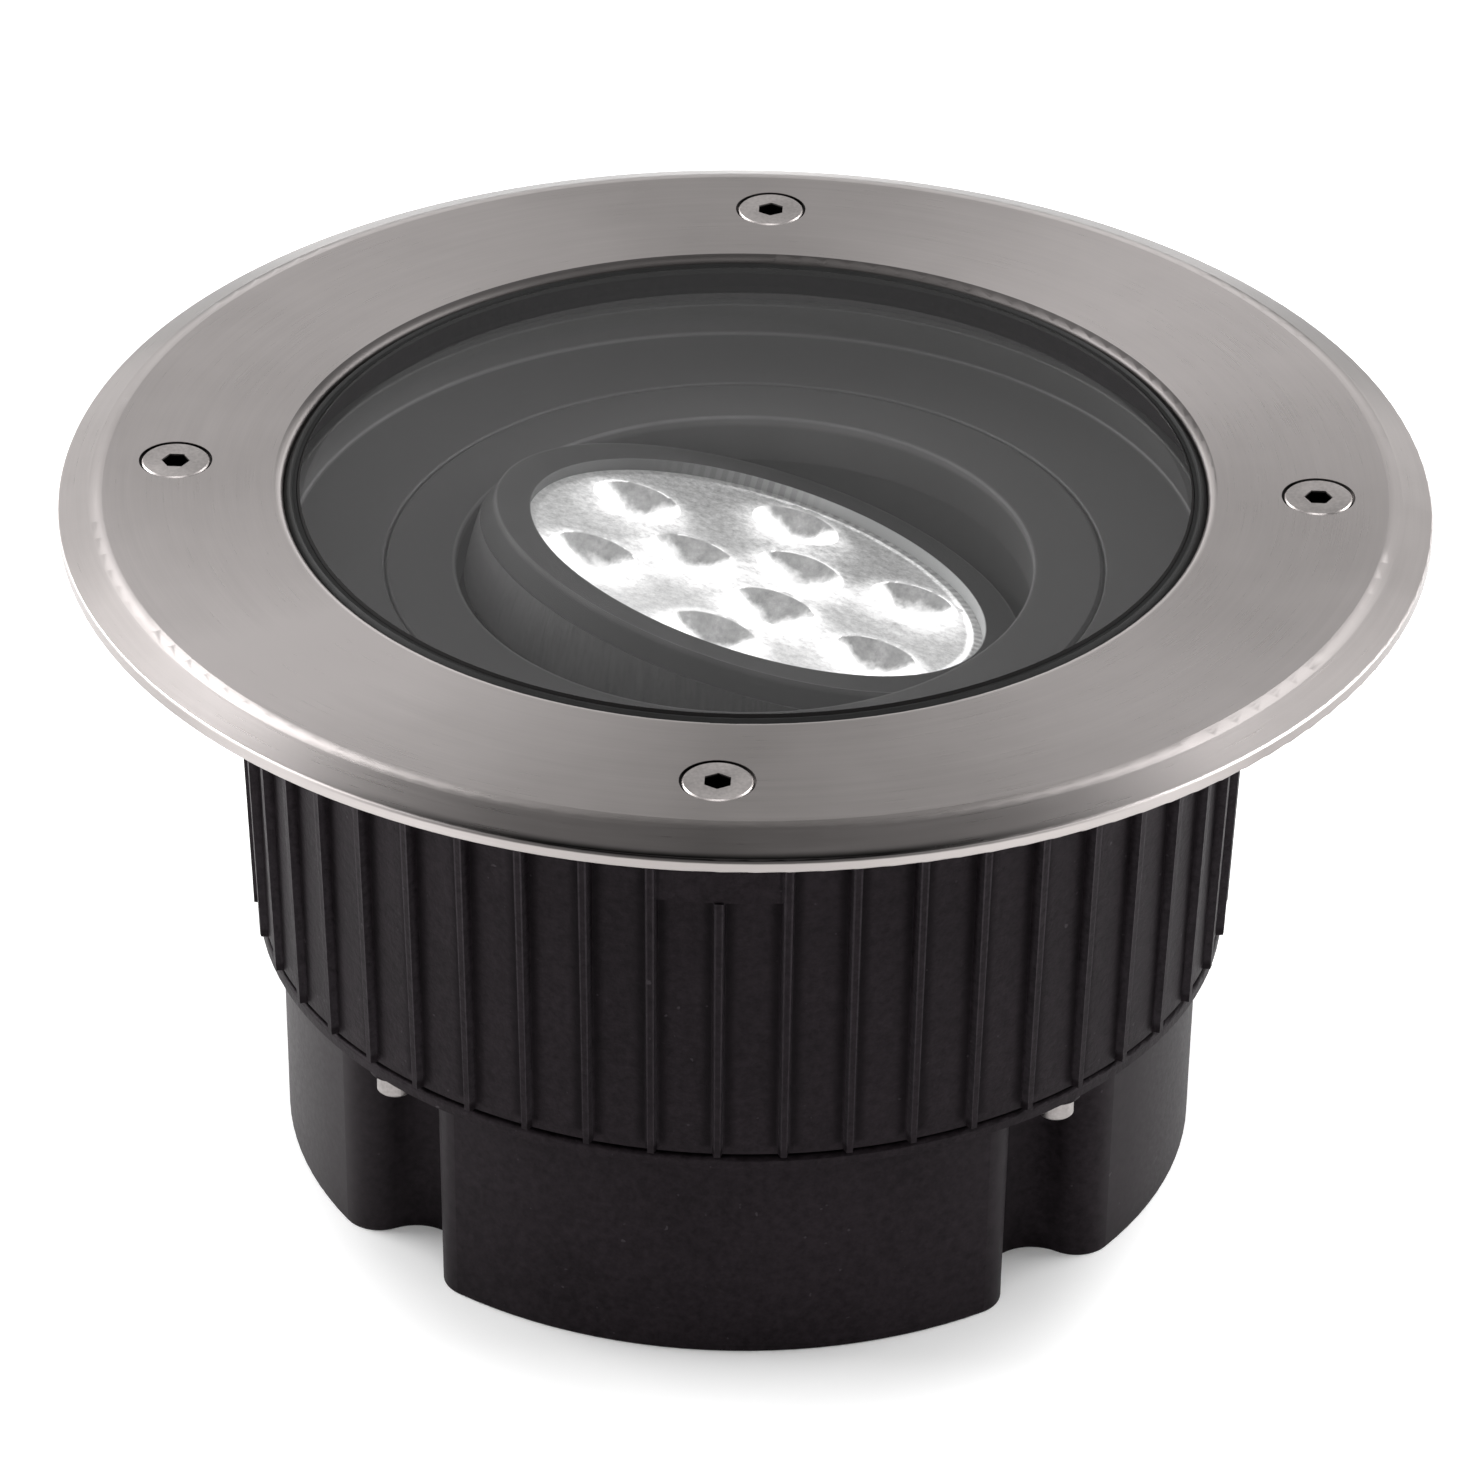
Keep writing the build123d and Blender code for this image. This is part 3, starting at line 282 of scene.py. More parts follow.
class Finish(Nodes):
    """One procedural material."""

    def __init__(self, name):
        self.material = bpy.data.materials.new(name)
        self.material.use_nodes = True
        super().__init__(self.material.node_tree)
        self.tree.nodes.clear()
        self.place = self.add("ShaderNodeTexCoord", out="Object")

    def around(self):
        """The place as x, y, z and the distance from the Z axis."""
        x, y, z = self.split(self.place)
        return x, y, z, (x * x + y * y) ** 0.5

    def noise(self, scale, detail=2.0, rough=0.5, where=None):
        sockets = {"Vector": where or self.place, "Scale": scale, "Detail": detail, "Roughness": rough}
        return self.add("ShaderNodeTexNoise", sockets=sockets)

    def attribute(self, name):
        return self.split(self.add("ShaderNodeAttribute", {"attribute_name": name}, out="Vector"))

    def shade(self, share, *stops):
        """A colour that runs through stops of (position, colour) as the share goes from 0 to 1."""
        return self.add("ShaderNodeValToRGB", {"stops": stops}, {"Fac": share})

    def blend(self, share, first, second):
        """The first colour where the share is 0, the second where it is 1."""
        settings = {"data_type": "RGBA", "clamp_factor": True}
        return self.add("ShaderNodeMix", settings, {0: share, 6: first, 7: second}, out=2)

    def bump(self, height, distance, strength):
        sockets = {"Strength": strength, "Distance": distance, "Height": height}
        return self.add("ShaderNodeBump", sockets=sockets)

    def shader(self, **sockets):
        named = {key.replace("_", " "): value for key, value in sockets.items()}
        return self.add("ShaderNodeBsdfPrincipled", sockets=named)

    def choose(self, share, first, second):
        return self.add("ShaderNodeMixShader", sockets={0: share, 1: first, 2: second})

    def close(self, shader):
        output = self.tree.nodes.new("ShaderNodeOutputMaterial")
        self.feed(output.inputs["Surface"], shader)
        return self.material


def grey(level, warm=0.0):
    """A grey of that linear level, a little rosy where asked."""
    return (level * (1 + warm), level * (1 - warm), level)


def turned_lines(finish, across, along):
    """Noise in fine lines round the Z axis: across is lines per metre, along is how often one breaks."""
    x, y, z, radius = finish.around()
    where = finish.join(radius * across + z * across, x / radius * along, y / radius * along)
    return finish.noise(1.0, 3.0, 0.6, where)


def screw_reach(x, y):
    """Distance from the axis of the nearest trim screw: the four stand on the X and Y axes."""
    far = abs(x).most(abs(y)) - SCREW_CIRCLE
    side = abs(x).least(abs(y))
    return (far * far + side * side) ** 0.5


def brushed_steel(name):
    """Trim steel brushed in circles: fine lines and a soft haze, with painted reflections whose tone changes
    round the trim, and painted shade on the bevel, the rim, the opening's edge and in the screw seats.
    """
    f = Finish(name)
    x, y, z, radius = f.around()
    drop = TRIM_TOP - z
    fine = turned_lines(f, 4200.0, 5.0)
    coarse = turned_lines(f, 700.0, 2.0)
    haze = f.noise(16.0, 3.0) * 0.6 + f.noise(55.0, 3.0) * 0.4
    grain = (fine - 0.5) * 0.14 + (coarse - 0.5) * 0.16 + (haze - 0.5) * 0.55

    # Directions round the trim
    back = y / radius
    front = (-back).above(0.80, 1.0)
    sweep = (x * x - y * y) / (radius * radius)
    slant = x * y * 2 / (radius * radius)
    quarter = sweep * sweep * 2 - 1
    skew = abs(slant)
    between = abs(slant * sweep) * 2

    # Zones from the outer rim to the opening
    bevel = radius.above(BEVEL_TOP, BEVEL_TOP + 2 * MM)
    rim = drop.above(RIM_DROP, RIM_DROP + 0.5 * MM)
    lip_shadow_band = drop.band(LIP_DROP, RIM_DROP, LIP_FOOT_DROP, LIP_FOOT_DROP + 0.3 * MM)
    edge = (1 - radius.above(OPENING_EDGE - 0.15 * MM, OPENING_EDGE)) * back.above(-0.1, 0.35)

    # Painted reflections by direction round the trim: the flat's tone changes with the way it faces, and the
    # bevel is lit at its front corners and shaded towards the back
    turn = slant * 0.17 + sweep * 0.20 - quarter * 0.20 + back * 0.08 + 0.06
    turn = turn + (-back).above(0.4, 0.7) * skew * 0.2
    corner = (-back).above(0.5, 0.8) * skew * 0.8 - 0.14 - back.above(0.1, 0.8) * 0.8
    mix = 0.46 + grain + (1 - bevel) * turn + bevel * corner
    # Painted shade darkens the outer rim's tone
    steel = f.shade(mix - rim * 0.7, (0.0, TRIM_DARK), (1.0, TRIM_LIGHT))
    # Painted shade: on the bevel towards the back and at the front, in the screw seats, along the opening's
    # edge at the back, on the outer rim less at the front, and a dark line under the rim at the front
    shadow = bevel * (back.above(0.2, 0.7) * (skew * 0.36 + between * 0.34) + front * 0.32)
    dark = seat_shadow(f, x, y, drop) + edge * 0.8 + rim * (0.34 - front * 0.22)
    dark = dark + shadow * (1 - rim) + lip_shadow_band * front * 0.75
    return f.close(
        f.shader(
            Base_Color=f.blend(dark, steel, SHADE_AND_BORDER_BLACK),
            Metallic=1.0,
            Roughness=0.22 + fine * 0.08 + haze * 0.06 + rim * 0.1 + edge * 0.25,
            Normal=f.bump(fine * 0.7 + coarse * 0.3, 0.02 * MM, 0.45),
        )
    )


def seat_shadow(finish, x, y, drop):
    """Painted shade in the four countersinks: near 1 below the trim's face, patchily less, and 0 elsewhere.
    """
    below = drop.above(0.02 * MM, 0.10 * MM)
    patchy = 0.95 - finish.noise(90.0).above(0.45, 0.65) * 0.4
    return below * (1 - screw_reach(x, y).above(SEAT_REACH, SEAT_REACH + 0.2 * MM)) * patchy


def screw_steel(name):
    """Stainless screw heads: a fine lathe grain, with painted shade black in the depth of the trim screws'
    sockets and round their heads, and half black on the base screws.
    """
    f = Finish(name)
    x, y, z = f.split(f.place)
    drop = TRIM_TOP - z
    reach = screw_reach(x, y)
    base_screw = drop.above(SCREW_DROP, SCREW_DROP + 1 * MM)
    below = drop.above(0.12 * MM, 0.45 * MM) * (1 - base_screw)
    # Painted shade: black in the trim screws' sockets and round their heads' edges, half black on the base
    # screws
    socket = below * (1 - reach.above(SOCKET_REACH, SOCKET_REACH + 0.2 * MM))
    wall = below * reach.above(SCREW_EDGE, SCREW_EDGE + 0.08 * MM)
    grain = f.noise(1800.0, 3.0)
    cloud = f.noise(140.0)
    steel = f.shade(grain * 0.5 + cloud * 0.5, (0.3, SCREW_DARK), (0.7, SCREW_LIGHT))
    return f.close(
        f.shader(
            Base_Color=f.blend(socket + wall + base_screw * 0.5, steel, SHADE_AND_BORDER_BLACK),
            Metallic=1.0,
            Roughness=0.30 + cloud * 0.2,
            Normal=f.bump(grain, 0.02 * MM, 0.4),
        )
    )


def black_casting(name):
    """Matt black powder coat: fine grain, pale specks, painted highlights along the rib edges, painted shade
    dark at the rib roots and painted light low on the sides.
    """
    f = Finish(name)
    x, y, z, radius = f.around()
    grain = f.noise(1000.0, 4.0, 0.65)
    pits = f.noise(520.0)
    cloud = f.noise(36.0, 3.0)
    speck = f.noise(700.0, 1.0).above(0.75, 0.82)

    # Distance from the middle of the nearest rib, apart from the pads under the flange
    step = f.math("ARCTAN2", y, x) / RIB_PITCH
    pad = (step - PAD_FIRST_RIB) / PAD_RIBS
    beside = abs(pad - round(pad)).above(0.85 / PAD_RIBS, 0.90 / PAD_RIBS)
    below = 1 - z.above(PAD_FOOT, PAD_FOOT + 0.2 * MM)
    outside = radius.above(PANEL_SIDE, PANEL_SIDE + 1 * MM)
    ribbed = outside * z.above(PANEL_FOOT, PANEL_FOOT + 1 * MM) * beside.most(below)
    gap = abs(step - round(step)) * radius * RIB_PITCH
    # Painted highlights along the rib edges, and painted shade at the rib roots
    painted_edge_highlight = ribbed * gap.band(0.30 * MM, 0.50 * MM, 0.75 * MM, 0.95 * MM)
    root = ribbed * gap.band(0.95 * MM, 1.25 * MM, 1.5 * MM, 3.2 * MM)

    # Painted light low on both sides over the base's lobes, stronger towards -X
    sides = x.above(50 * MM, 90 * MM) * 0.4 + (-x).above(45 * MM, 85 * MM)
    lobe_light = (1 - z.above(LOBE_TOP, LOBE_TOP + 6 * MM)) * sides
    coat = f.shade(cloud * 0.25 + grain * 0.5 + pits * 0.25, (0.38, COAT_DARK), (0.62, COAT_LIGHT))
    coat = f.blend(lobe_light, coat, LOBE_PAINTED_LIGHT)
    coat = f.blend(root * 0.55, coat, ROOT_SHADE_BLACK)
    return f.close(
        f.shader(
            Base_Color=f.blend(speck + painted_edge_highlight * (grain * 1.4 - 0.1), coat, SPECK_AND_HIGHLIGHT_COAT),
            Roughness=0.34 + grain * 0.28 + cloud * 0.08 + root * 0.2,
            Specular_IOR_Level=0.085,
            Specular_Tint=COAT_SHINE,
            Normal=f.bump((grain * 0.6 + pits * 0.4) * outside, 0.3 * MM, 0.6),
        )
    )


def plain_moulding(name, low, high, grain_scale=900.0, rough=0.5):
    """Matt moulded or painted surface between two greys, with a fine even grain."""
    f = Finish(name)
    grain = f.noise(grain_scale)
    cloud = f.noise(30.0, 3.0)
    colour = f.shade(cloud * 0.7 + grain * 0.3, (0.3, grey(low)), (0.7, grey(high)))
    normal = f.bump(grain, 0.05 * MM, 0.35)
    return f.close(f.shader(Base_Color=colour, Roughness=rough + cloud * 0.12, Normal=normal))


def baffle_grey(name):
    """Matt dark grey of the baffle and the panning ring, with painted highlights along their turned edges and
    painted shade on the wall, round the pan hole and towards +X.
    """
    f = Finish(name)
    x, _, z, radius = f.around()
    climb = z - BAFFLE_FLOOR
    grain = f.noise(900.0)
    cloud = f.noise(30.0, 3.0)
    # Painted highlight lines along the turned edges, patchy round the circle
    patchy = 0.25 + turned_lines(f, 60.0, 3.0) * 0.9
    edge = sum(1 - abs(radius - line).above(0.15 * MM, 0.6 * MM) for line in EDGE_LINES)
    # Painted shade on the wall, deeper towards its top, round the pan hole, and towards +X
    wall = radius.above(BAFFLE_WALL, BAFFLE_WALL + 0.5 * MM) * climb.above(0.6 * MM, 1.2 * MM)
    wall = wall * (0.45 + climb.above(0.0, BAFFLE_RIM - BAFFLE_FLOOR) * 0.45)
    hole = (1 - climb.above(-2.0 * MM, -0.8 * MM)) * (1 - radius.above(PAN_HOLE, PAN_HOLE + 2 * MM))
    right = x.above(-40 * MM, 50 * MM) * 0.62
    base = f.shade(cloud * 0.7 + grain * 0.3, (0.3, grey(0.048, 0.02)), (0.7, grey(0.058, 0.02)))
    lined = f.blend(edge * patchy, base, BAFFLE_EDGE_HIGHLIGHT)
    return f.close(
        f.shader(
            Base_Color=f.blend(wall + hole * 0.45 + right, lined, SHADE_AND_BORDER_BLACK),
            Roughness=0.6 + cloud * 0.12,
            Normal=f.bump(grain, 0.05 * MM, 0.35),
        )
    )


def streaked_grey(name):
    """Dark grey of the head: faint streaks run up its ball side."""
    f = Finish(name)
    x, y, z, radius = f.around()
    where = f.join(x / radius * 60.0, y / radius * 60.0, z * 160.0)
    streak = f.noise(1.0, 3.0, 0.65, where)
    grain = f.noise(1100.0)
    tone = streak * 0.75 + grain * 0.25
    return f.close(
        f.shader(
            Base_Color=f.shade(tone, (0.3, grey(0.042, 0.02)), (0.75, grey(0.095, 0.02))),
            Roughness=0.46 + streak * 0.25,
            Normal=f.bump(grain, 0.04 * MM, 0.3),
        )
    )


def bezel_grey(name):
    """Matt grey of the bezel: a painted glow from the lens on the wall of its opening, brighter to one side,
    and a painted highlight along its outer edge.
    """
    f = Finish(name)
    x, y, z = f.split(f.place)
    grain = f.noise(1100.0)
    cloud = f.noise(70.0, 3.0)
    ways = HEAD.to_3x3().transposed()
    across, up = [x * way.x + y * way.y + (z - PIVOT_HEIGHT) * way.z for way in ways[:2]]
    reach = (across * across + up * up) ** 0.5
    teeth = edge_teeth(f, across, up, 0.3) * (1 - across.above(20 * MM, 30 * MM))
    right = across.above(-5 * MM, 30 * MM)
    wall = 1 - reach.above(LENS_OPENING + 0.05 * MM, LENS_OPENING + 0.25 * MM)
    edge = 1 - abs(reach - BEZEL_FLAT).above(0.05 * MM, 0.4 * MM)
    base = f.shade(cloud * 0.7 + grain * 0.3, (0.3, grey(0.036, 0.02)), (0.7, grey(0.046, 0.02)))
    # Painted highlight along the outer edge
    painted_edge_highlight = f.blend(edge * cloud * 1.2, base, BEZEL_EDGE_HIGHLIGHT)
    # Painted glow from the lens on the opening's wall, brighter to one side
    pale = f.shade(0.2 + right * (0.7 - teeth * 0.25), (0.0, grey(0.05)), (1.0, grey(0.48)))
    return f.close(
        f.shader(
            Base_Color=f.blend(wall, painted_edge_highlight, pale),
            Roughness=0.75,
            Specular_IOR_Level=0.25,
            Normal=f.bump(grain, 0.04 * MM, 0.3),
        )
    )


def edge_teeth(finish, x, y, soft):
    """Fine teeth round the lens's edge: 1 on a tooth and 0 in a gap."""
    wave = finish.math("SINE", finish.math("ARCTAN2", y, x) * EDGE_TEETH)
    return wave.above(-soft, soft)


def seal_rubber(name):
    """Black silicone with a dull bloom."""
    f = Finish(name)
    bloom = f.noise(260.0, 3.0)
    return f.close(
        f.shader(
            Base_Color=f.shade(bloom, (0.3, grey(0.009)), (0.75, grey(0.019))),
            Roughness=0.55 + bloom * 0.18,
            Specular_IOR_Level=0.28,
            Normal=f.bump(f.noise(2400.0), 0.03 * MM, 0.3),
        )
    )


def clear_glass(name):
    """Toughened glass that lets lamps through, with a faint film on it and a black border in the seal."""
    f = Finish(name)
    _, _, z, radius = f.around()
    raised = z.above(GLASS_BOTTOM + 0.1 * MM, GLASS_BOTTOM + 0.3 * MM)
    step = radius.above(GLASS_FACE, GLASS_FACE + 0.05 * MM) * raised
    border = step.most(radius.above(GLASS_RIM, GLASS_RIM + 0.1 * MM))
    black = f.shader(Base_Color=SHADE_AND_BORDER_BLACK, Roughness=0.7, Specular_IOR_Level=0.1)
    pane = f.shader(
        Base_Color=f.shade(f.noise(60.0, 3.0), (0.2, PANE_DARK), (0.8, PANE_LIGHT)),
        Roughness=0.0,
        IOR=1.5,
        Specular_Tint=PANE_SHINE,
        Transmission_Weight=1.0,
    )
    open_way = f.add("ShaderNodeBsdfTransparent", sockets={"Color": PANE_OPEN})
    shadow_ray = f.add("ShaderNodeLightPath", out="Is Shadow Ray")
    diffuse_ray = f.add("ShaderNodeLightPath", out="Is Diffuse Ray")
    clear = f.choose(shadow_ray.most(diffuse_ray), pane, open_way)
    return f.close(f.choose(border, clear, black))


def lit_lens(name):
    """Clear lens over lit sources, its light and shade painted as glow: white-hot cups with a grey shade on
    the far side, in a textured face.
    """
    f = Finish(name)
    depth, far, spread = f.attribute("cup")
    x, y, reach = f.attribute("plate")
    along = f.split(f.place)[1]
    near = (-along).above(-38 * MM, 38 * MM)
    ripple = f.noise(260.0) - 0.5
    wave = f.noise(800.0, 3.0, 0.7) - 0.5
    grit = f.noise(2600.0) - 0.5
    bowl = depth.above(0.0, 0.06)
    shade = far * 1.6 - 0.66 + near * 0.25 - depth * 1.25 + ripple * 0.9 + wave * 0.3
    rim = (1 - depth.above(0.02, 0.07)) * (0.35 + ripple * 1.6)
    dim = shade.above(-0.15, 0.40) * (1 - rim) * (0.54 + ripple * 0.6 + wave * 0.3)
    hot = 0.64 + ripple * 0.6 - dim
    spill = spread * (0.36 + near * 0.22) * (1 + ripple * 2.0 + wave * 1.4)
    face = 0.105 + near * 0.15 + spill + wave * 0.20 + grit * 0.14
    light = face * (1 - bowl) * lens_edge(f, x, y, reach) + bowl * hot
    return f.close(
        f.shader(
            Base_Color=f.shade(wave + 0.5 - bowl * 0.15, (0.2, grey(0.10)), (0.8, grey(0.28))),
            Roughness=0.30 + wave * 0.1,
            Normal=f.bump(wave, 0.12 * MM, 0.5),
            Emission_Color=f.shade(light, (0.0, grey(0.0)), (1.0, grey(1.0))),
            Emission_Strength=LENS_GLOW,
        )
    )


def lens_edge(finish, x, y, reach):
    """Painted glow of the lens's border, by its place on the face: a pale line at the right, then fine dark
    teeth.
    """
    right = x.above(0.1, 0.7)
    border = reach.above(0.955, 0.97)
    line = reach.above(0.925, 0.945) * (1 - border)
    return 1 + line * right * 1.5 - border * (0.35 + right * edge_teeth(finish, x, y, 0.2) * 0.35)


def glowing_chip(name):
    """Light source under each lens."""
    f = Finish(name)
    return f.close(
        f.shader(
            Base_Color=CHIP_BODY,
            Roughness=0.4,
            Emission_Color=f.shade(f.noise(900.0, 1.0), (0.2, CHIP_DARK), (0.8, CHIP_LIGHT)),
            Emission_Strength=CHIP_GLOW,
        )
    )


def bare_metal(name, low, high, scale=500.0):
    """Unpainted metal inside the light, with a rolled or cast grain."""
    f = Finish(name)
    grain = f.noise(scale, 3.0)
    return f.close(
        f.shader(
            Base_Color=f.shade(grain, (0.3, grey(low)), (0.7, grey(high))),
            Metallic=1.0,
            Roughness=0.34 + grain * 0.2,
            Normal=f.bump(grain, 0.04 * MM, 0.3),
        )
    )


def pale_floor(name):
    """Plain white paper floor with a glow of its own, a faint tooth, a painted soft shadow close round the
    base and painted light towards the sides.
    """
    f = Finish(name)
    x, _, _, radius = f.around()
    # Painted light and shade in the floor's glow: lower close round the base, higher towards the sides and
    # more towards -X
    sides = abs(x).above(70 * MM, 200 * MM)
    left = (-x).above(40 * MM, 180 * MM)
    right = x.above(48 * MM, 80 * MM)
    reach = radius + x * x * 5.0
    level = 0.09 + reach.above(80 * MM, 120 * MM) * 0.44 + sides * 0.22 + left * 0.23 + right * 0.2
    return f.close(
        f.shader(
            Base_Color=f.shade(f.noise(14.0), (0.3, grey(0.93)), (0.7, grey(0.95))),
            Roughness=0.9,
            Emission_Color=f.shade(level, (0.0, grey(0.0)), (1.0, grey(1.0))),
            Emission_Strength=1.0,
        )
    )


FINISHES = (
    (brushed_steel("brushed_trim_steel"), "trim_ring"),
    (screw_steel("stainless_screws"), "trim_screws base_screws"),
    (black_casting("black_powder_coat"), "base_cover ribbed_housing"),
    (baffle_grey("matt_baffle_grey"), "baffle_ring pan_ring"),
    (streaked_grey("head_grey"), "head_cup"),
    (bezel_grey("bezel_grey"), "bezel_ring"),
    (clear_glass("clear_glass"), "glass"),
    (seal_rubber("black_silicone"), "glass_seal base_gasket gland_seal"),
    (glowing_chip("lit_source"), "led_chips"),
    (plain_moulding("white_board", 0.70, 0.80, 500.0, 0.35), "led_board"),
    (bare_metal("bare_aluminium", 0.55, 0.75), "heat_sink"),
    (bare_metal("zinc_plate", 0.45, 0.68, 240.0), "supply_bracket retaining_clip"),
    (
        bare_metal("zinc_screws", 0.42, 0.66, 1500.0),
        "baffle_screws bracket_screws board_screws heat_sink_screws pivot_screws",
    ),
    (plain_moulding("supply_case", 0.55, 0.66, 700.0, 0.45), "supply_unit terminal_block"),
    (
        plain_moulding("gland_black", 0.014, 0.024, 1200.0, 0.40),
        "gland_washer gland_body gland_locknut gland_nut",
    ),
    (plain_moulding("pivot_nylon", 0.60, 0.72, 900.0, 0.35), "pivot_washers"),
    (plain_moulding("lens_stand_in", 0.4, 0.5), "lens_plate"),
)
for material, names in FINISHES:
    for name in names.split():
        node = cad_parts[name]
        node.data.materials.clear()
        node.data.materials.append(material)


def link(name, data):
    made = bpy.data.objects.new(name, data)
    bpy.context.scene.collection.objects.link(made)
    return made


def on_circle(radius, start, step, count):
    angle = start + 2 * math.pi * step / count
    return Vector((radius * math.cos(angle), radius * math.sin(angle)))


def halo(offset):
    """Light that a cup spills on the face, at an offset from its middle: farther on the near side."""
    beyond = max(offset.length - CUP_MOUTH, 0.0)
    facing = 0.5 - 0.5 * math.cos(math.atan2(offset.y, offset.x) - FAR_SIDE)
    return (0.15 + 0.85 * facing) * math.exp(-((beyond / ((0.7 + 4.3 * facing**2) * MM)) ** 1.5))


def cup_pattern():
    """One lens cup about its own axis, mouth at height 0: an attribute holds depth, far side and halo."""
    bm = bmesh.new()
    layer = bm.verts.layers.float_vector.new("cup")
    rows = []
    for ring in range(CUP_RINGS + 1):
        share = ring / CUP_RINGS
        radius = CUP_FOOT + (CUP_MOUTH - CUP_FOOT) * (1 - share) ** CUP_CURVE
        row = []
        for step in range(CUP_SEGMENTS):
            spot = on_circle(radius, 0.0, step, CUP_SEGMENTS)
            vert = bm.verts.new((*spot, -CUP_DEPTH * share))
            far = math.cos(2 * math.pi * step / CUP_SEGMENTS - FAR_SIDE)
            vert[layer] = (share, max(0.0, far), halo(spot))
            row.append(vert)
        rows.append(row)
    for upper, lower in zip(rows, rows[1:]):
        for step in range(CUP_SEGMENTS):
            after = (step + 1) % CUP_SEGMENTS
            bm.faces.new((upper[step], upper[after], lower[after], lower[step]))
    bm.faces.new(rows[-1])
    for face in bm.faces:
        face.smooth = True
    mesh = bpy.data.meshes.new("lens_cup")
    bm.to_mesh(mesh)
    bm.free()
    return link("lens_cup_pattern", mesh)


def ring_tree():
    """Copies of a pattern piece on a circle about Z, each kept as it stands."""
    tree = bpy.data.node_groups.new("ring_of_copies", "GeometryNodeTree")
    face = tree.interface
    face.new_socket("Geometry", in_out="INPUT", socket_type="NodeSocketGeometry")
    sizes = {}
    for label, kind in (
        ("Pattern", "NodeSocketObject"),
        ("Count", "NodeSocketInt"),
        ("Radius", "NodeSocketFloat"),
        ("Start", "NodeSocketFloat"),
        ("Finish", "NodeSocketMaterial"),
    ):
        sizes[label] = face.new_socket(label, in_out="INPUT", socket_type=kind).identifier
    face.new_socket("Geometry", in_out="OUTPUT", socket_type="NodeSocketGeometry")
    add = tree.nodes.new
    enter, leave = add("NodeGroupInput"), add("NodeGroupOutput")
    circle = add("GeometryNodeMeshCircle")
    spin = add("ShaderNodeCombineXYZ")
    turn = add("GeometryNodeTransform")
    pattern = add("GeometryNodeObjectInfo")
    copies = add("GeometryNodeInstanceOnPoints")
    real = add("GeometryNodeRealizeInstances")
    paint = add("GeometryNodeSetMaterial")
    joins = (
        (enter.outputs["Count"], circle.inputs["Vertices"]),
        (enter.outputs["Radius"], circle.inputs["Radius"]),
        (enter.outputs["Start"], spin.inputs["Z"]),
        (circle.outputs["Mesh"], turn.inputs["Geometry"]),
        (spin.outputs[0], turn.inputs["Rotation"]),
        (enter.outputs["Pattern"], pattern.inputs["Object"]),
        (turn.outputs["Geometry"], copies.inputs["Points"]),
        (pattern.outputs["Geometry"], copies.inputs["Instance"]),
        (copies.outputs[0], real.inputs[0]),
        (real.outputs[0], paint.inputs["Geometry"]),
        (enter.outputs["Finish"], paint.inputs["Material"]),
        (paint.outputs[0], leave.inputs["Geometry"]),
    )
    for start, end in joins:
        tree.links.new(start, end)
    return tree, sizes


RING_TREE, RING_SIZES = ring_tree()


def ring_of(pattern, count, radius, start, finish):
    """A plain mesh of copies of the pattern on a circle, made by the ring tree."""
    holder = link("ring_holder", bpy.data.meshes.new("ring_holder"))
    modifier = holder.modifiers.new("ring", "NODES")
    modifier.node_group = RING_TREE
    values = {"Pattern": pattern, "Count": count, "Radius": radius, "Start": start, "Finish": finish}
    for label, value in values.items():
        modifier[RING_SIZES[label]] = value
    bpy.context.view_layer.update()
    made = bpy.data.meshes.new_from_object(holder.evaluated_get(bpy.context.evaluated_depsgraph_get()))
    bpy.data.objects.remove(holder)
    return made


def lens_face(bm):
    """The lens's flat front with nine round openings, in small triangles that carry the glow of each cup."""
    cup = bm.verts.layers.float_vector.new("cup")
    plate = bm.verts.layers.float_vector.new("plate")
    centres = [
        on_circle(radius, start, step, count)
        for count, radius, start in (INNER_CUPS, OUTER_CUPS)
        for step in range(count)
    ]
    points, edges = [], []

    def loop(centre, radius, count):
        first = len(points)
        points.extend(centre + on_circle(radius, 0.0, step, count) for step in range(count))
        edges.extend((first + step, first + (step + 1) % count) for step in range(count))

    loop(Vector((0, 0)), LENS_RADIUS, LENS_SEGMENTS)
    for centre in centres:
        loop(centre, CUP_MOUTH, CUP_SEGMENTS)
    half = int(LENS_RADIUS / FACE_SPACING) + 1
    for row in range(-half, half + 1):
        for column in range(-half, half + 1):
            spot = Vector(((column + 0.5 * (row % 2)) * FACE_SPACING, row * FACE_SPACING * ROW_PITCH))
            clear = min((spot - centre).length for centre in centres) - CUP_MOUTH
            if spot.length < LENS_RADIUS - 0.6 * FACE_SPACING and clear > 0.5 * FACE_SPACING:
                points.append(spot)
    flat, _, faces, *_ = delaunay_2d_cdt(points, edges, [], 0, 1e-7)
    verts = []
    for spot in flat:
        vert = bm.verts.new((spot.x, spot.y, 0.0))
        vert[cup] = (0.0, 0.0, min(sum(halo(spot - centre) for centre in centres), MOST_HALO))
        vert[plate] = (spot.x / LENS_OPENING, spot.y / LENS_OPENING, spot.length / LENS_OPENING)
        verts.append(vert)
    for face in faces:
        middle = sum((flat[index] for index in face), Vector((0, 0))) / len(face)
        inside = middle.length < LENS_RADIUS
        if inside and all((middle - centre).length > CUP_MOUTH * 0.998 for centre in centres):
            bm.faces.new([verts[index] for index in face])


